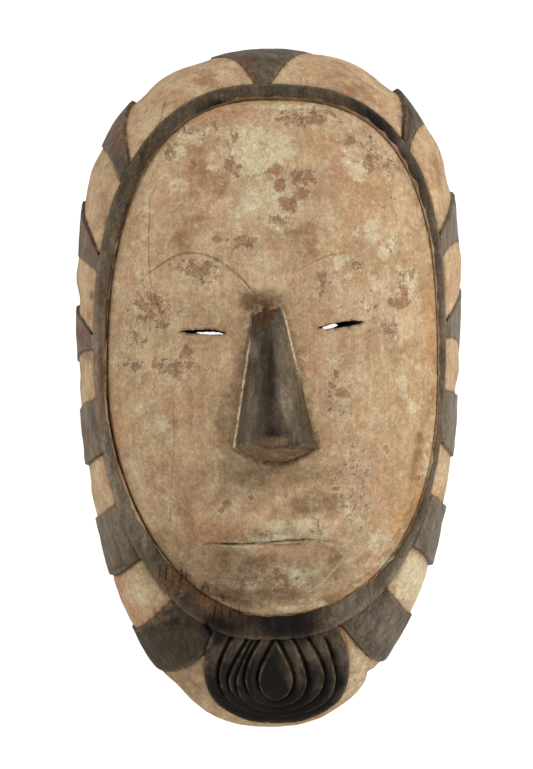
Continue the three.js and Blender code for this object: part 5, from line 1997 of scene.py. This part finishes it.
@dataclass
class Mask:
    """The whole mask: carved front, hollow back, flat rim and cut-through eye slits."""

    form: CarvedForm
    front_finish: PaintedFront = PaintedFront()
    back_finish: BareHollow = BareHollow()
    slit_finish: ShadedSlitWall = ShadedSlitWall()
    sharp_from: float = 42.0
    rim_below: float = 8.0
    slits_above: float = 20.0

    def build(self, effects: Effects) -> bpy.types.Object:
        """Build the mask as one closed piece and dress it.

        Args:
            effects: The shared node groups.

        Returns:
            The piece.
        """
        front = CarvedFront(self.form).surface()
        back = HollowBack(self.form).surface()
        places = np.concatenate([front.places, back.places])
        shift = len(front.places)
        rim = self.rim(front, back)
        walls = [self.slit_walls(slit, front.places, back.places) for slit in self.form.slits]
        parts = [front.triangles, np.concatenate([back.triangles + shift, rim]), np.concatenate(walls)]
        triangles = np.concatenate(parts)
        material = np.repeat(np.arange(3, dtype=np.int32), [len(part) for part in parts])
        used, triangles = np.unique(triangles, return_inverse=True)
        piece = self.mesh_piece("carved_mask", places[used], triangles.reshape(-1, 3))
        for kind in Mark:
            behind = back.marks.get(kind, np.zeros(len(back.places)))
            self.carry(piece, kind.value, np.concatenate([front.marks[kind], behind])[used])
        for finish in (self.front_finish, self.back_finish, self.slit_finish):
            piece.data.materials.append(finish.material(effects))
        piece.data.polygons.foreach_set("material_index", material)
        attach(piece, "root")
        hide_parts("mask")
        return piece

    def rim(self, front: Surface, back: Surface) -> Array:
        """Return the flat back rim between the outermost corners of the front and the hollow."""
        rows = []
        for sheet in (front, back):
            row = self.border(sheet)
            turn = polar(sheet.places[row, 0], sheet.places[row, 1])[0]
            begin = int(np.argmin(np.mod(turn, TURN)))
            row, turn = np.roll(row, -begin), np.unwrap(np.roll(turn, -begin))
            if turn[-1] < turn[0]:
                row, turn = np.roll(row[::-1], 1), np.roll(turn[::-1], 1)
                turn[0] -= TURN * round((turn[0] - turn[1]) / TURN)
            rows.append((row, np.maximum.accumulate(turn - TURN * math.floor(turn[0] / TURN))))
        (outer, outer_turn), (inner, inner_turn) = rows
        return strip(outer, outer_turn, inner + len(front.places), inner_turn)

    def border(self, sheet: Surface) -> Array:
        """Return the corners on the open rim of a sheet, one after another around it."""
        corners = sheet.triangles
        edges = np.concatenate([corners[:, [0, 1]], corners[:, [1, 2]], corners[:, [2, 0]]])
        known = {(int(a), int(b)) for a, b in edges}
        low = sheet.places[:, 2] < self.rim_below
        following = {a: b for a, b in known if (b, a) not in known and low[a]}
        row = [next(iter(following))]
        while following[row[-1]] != row[0]:
            row.append(following[row[-1]])
        return np.array(row)

    def slit_walls(self, slit: EyeSlit, outer: Array, inner: Array) -> Array:
        """Return the walls of one eye slit, from the front to the hollow."""
        rows = []
        for corners, shift, leaf in ((outer, 0, slit.front), (inner, len(outer), slit.back)):
            loop = leaf.loop()
            away = np.linalg.norm(corners[None, :, :2] - loop[:, None], axis=2)
            away += np.where(corners[:, 2] < self.slits_above, FAR_AWAY, 0.0)
            rows.append(away.argmin(axis=1) + shift)
        front, back = rows
        following = np.roll(np.arange(len(loop)), -1)
        first = np.column_stack([front, front[following], back])
        second = np.column_stack([front[following], back[following], back])
        return np.concatenate([first, second])

    def mesh_piece(self, name: str, places: Array, triangles: Array) -> bpy.types.Object:
        """Make a closed mesh object of places in millimetres, its faces all looking outward."""
        mesh = bpy.data.meshes.new(name)
        mesh.from_pydata((places * METRES).tolist(), [], triangles.tolist())
        shell = bmesh.new()
        shell.from_mesh(mesh)
        bmesh.ops.recalc_face_normals(shell, faces=shell.faces)
        gaps = sum(1 for edge in shell.edges if len(edge.link_faces) != 2)
        if gaps:
            LOG.warning("%s has %d open edges", name, gaps)
        shell.to_mesh(mesh)
        shell.free()
        mesh.polygons.foreach_set("use_smooth", np.ones(len(mesh.polygons), dtype=bool))
        mesh.set_sharp_from_angle(angle=math.radians(self.sharp_from))
        piece = bpy.data.objects.new(name, mesh)
        bpy.context.scene.collection.objects.link(piece)
        return piece

    @staticmethod
    def carry(piece: bpy.types.Object, name: str, values: Array) -> None:
        """Store one mark on the piece's corners."""
        mark = piece.data.attributes.new(name, "FLOAT", "POINT")
        mark.data.foreach_set("value", values.astype(np.float32))


@dataclass(frozen=True)
class SoftLight:
    """One large soft lamp that looks at the middle of the mask."""

    name: str
    place: tuple[float, float, float]
    size: float
    power: float
    colour: tuple[float, float, float] = (1.0, 1.0, 1.0)

    def hang(self) -> None:
        """Hang the lamp."""
        lamp = bpy.data.lights.new(self.name, "AREA")
        lamp.shape = "SQUARE"
        lamp.size = self.size
        lamp.energy = self.power
        lamp.color = self.colour
        holder = bpy.data.objects.new(self.name, lamp)
        holder.location = self.place
        aim = Vector((0.0, 0.0, 0.04)) - Vector(self.place)
        holder.rotation_mode = "QUATERNION"
        holder.rotation_quaternion = aim.to_track_quat("-Z", "Y")
        bpy.context.scene.collection.objects.link(holder)


@dataclass
class Studio:
    """A pale floor, soft light and a camera that looks straight down."""

    camera_place: tuple[float, float, float] = (-0.00112, 0.00167, 1.5)
    lens: float = 125.84
    sensor_width: float = 36.0
    floor_reach: float = 3.0
    floor_grey: float = 0.8
    floor_glow: float = 1.3
    lights: tuple[SoftLight, ...] = (
        SoftLight("key", (0.85, 0.95, 1.0), 0.7, 16.8, (1.0, 0.97, 0.92)),
        SoftLight("fill", (-1.25, -0.1, 0.48), 1.0, 9.6, (1.0, 0.97, 0.92)),
        SoftLight("low fill", (1.0, -0.9, 0.42), 0.5, 8.6, (1.0, 0.98, 0.95)),
    )
    sky: float = 0.27

    def build(self) -> None:
        """Set up the floor, the lights, the sky and the camera."""
        self.floor()
        for light in self.lights:
            light.hang()
        world = bpy.data.worlds.new("pale sky")
        bpy.context.scene.world = world
        world.use_nodes = True
        w = Wiring(world.node_tree)
        sky = w.add("ShaderNodeBackground", {"Color": (1.0, 0.98, 0.95, 1.0), "Strength": self.sky})
        w.feed(w.add("ShaderNodeOutputWorld").inputs["Surface"], sky.outputs[0])
        bpy.context.scene.view_settings.view_transform = "Standard"
        camera = bpy.data.cameras.new("camera")
        camera.lens = self.lens
        camera.sensor_width = self.sensor_width
        camera.clip_start, camera.clip_end = 0.05, 20.0
        holder = bpy.data.objects.new("camera", camera)
        holder.location = self.camera_place
        bpy.context.scene.collection.objects.link(holder)
        bpy.context.scene.camera = holder

    def floor(self) -> None:
        """Lay a plain pale floor that looks white and keeps a faint shadow."""
        mesh = bpy.data.meshes.new("floor")
        reach, grey = self.floor_reach, self.floor_grey
        corners = [(-reach, -reach, 0.0), (reach, -reach, 0.0), (reach, reach, 0.0), (-reach, reach, 0.0)]
        mesh.from_pydata(corners, [], [(0, 1, 2, 3)])
        material, w = new_material("pale floor")
        matt = w.add("ShaderNodeBsdfDiffuse", {"Color": (grey, grey, grey, 1.0)})
        glow = w.add("ShaderNodeEmission", {"Color": (1.0, 1.0, 1.0, 1.0), "Strength": self.floor_glow})
        seen = w.add("ShaderNodeLightPath").outputs["Is Camera Ray"]
        share = w.times(seen, 0.8)
        both = w.add("ShaderNodeMixShader", {0: share, 1: matt.outputs[0], 2: glow.outputs[0]})
        w.finish(both)
        mesh.materials.append(material)
        floor = bpy.data.objects.new("floor", mesh)
        bpy.context.scene.collection.objects.link(floor)


def main() -> None:
    """Build the mask and its studio, and note the finished piece's corners and triangles and the number of
    lamps.
    """
    logging.basicConfig(level=logging.INFO, format="%(name)s: %(message)s")
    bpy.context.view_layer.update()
    piece = Mask(CarvedForm()).build(Effects())
    LOG.info("%s: %d corners, %d triangles", piece.name, len(piece.data.vertices), len(piece.data.polygons))
    studio = Studio()
    studio.build()
    LOG.info("studio: floor, %d lamps and the camera", len(studio.lights))


if __name__ == "__main__":
    main()
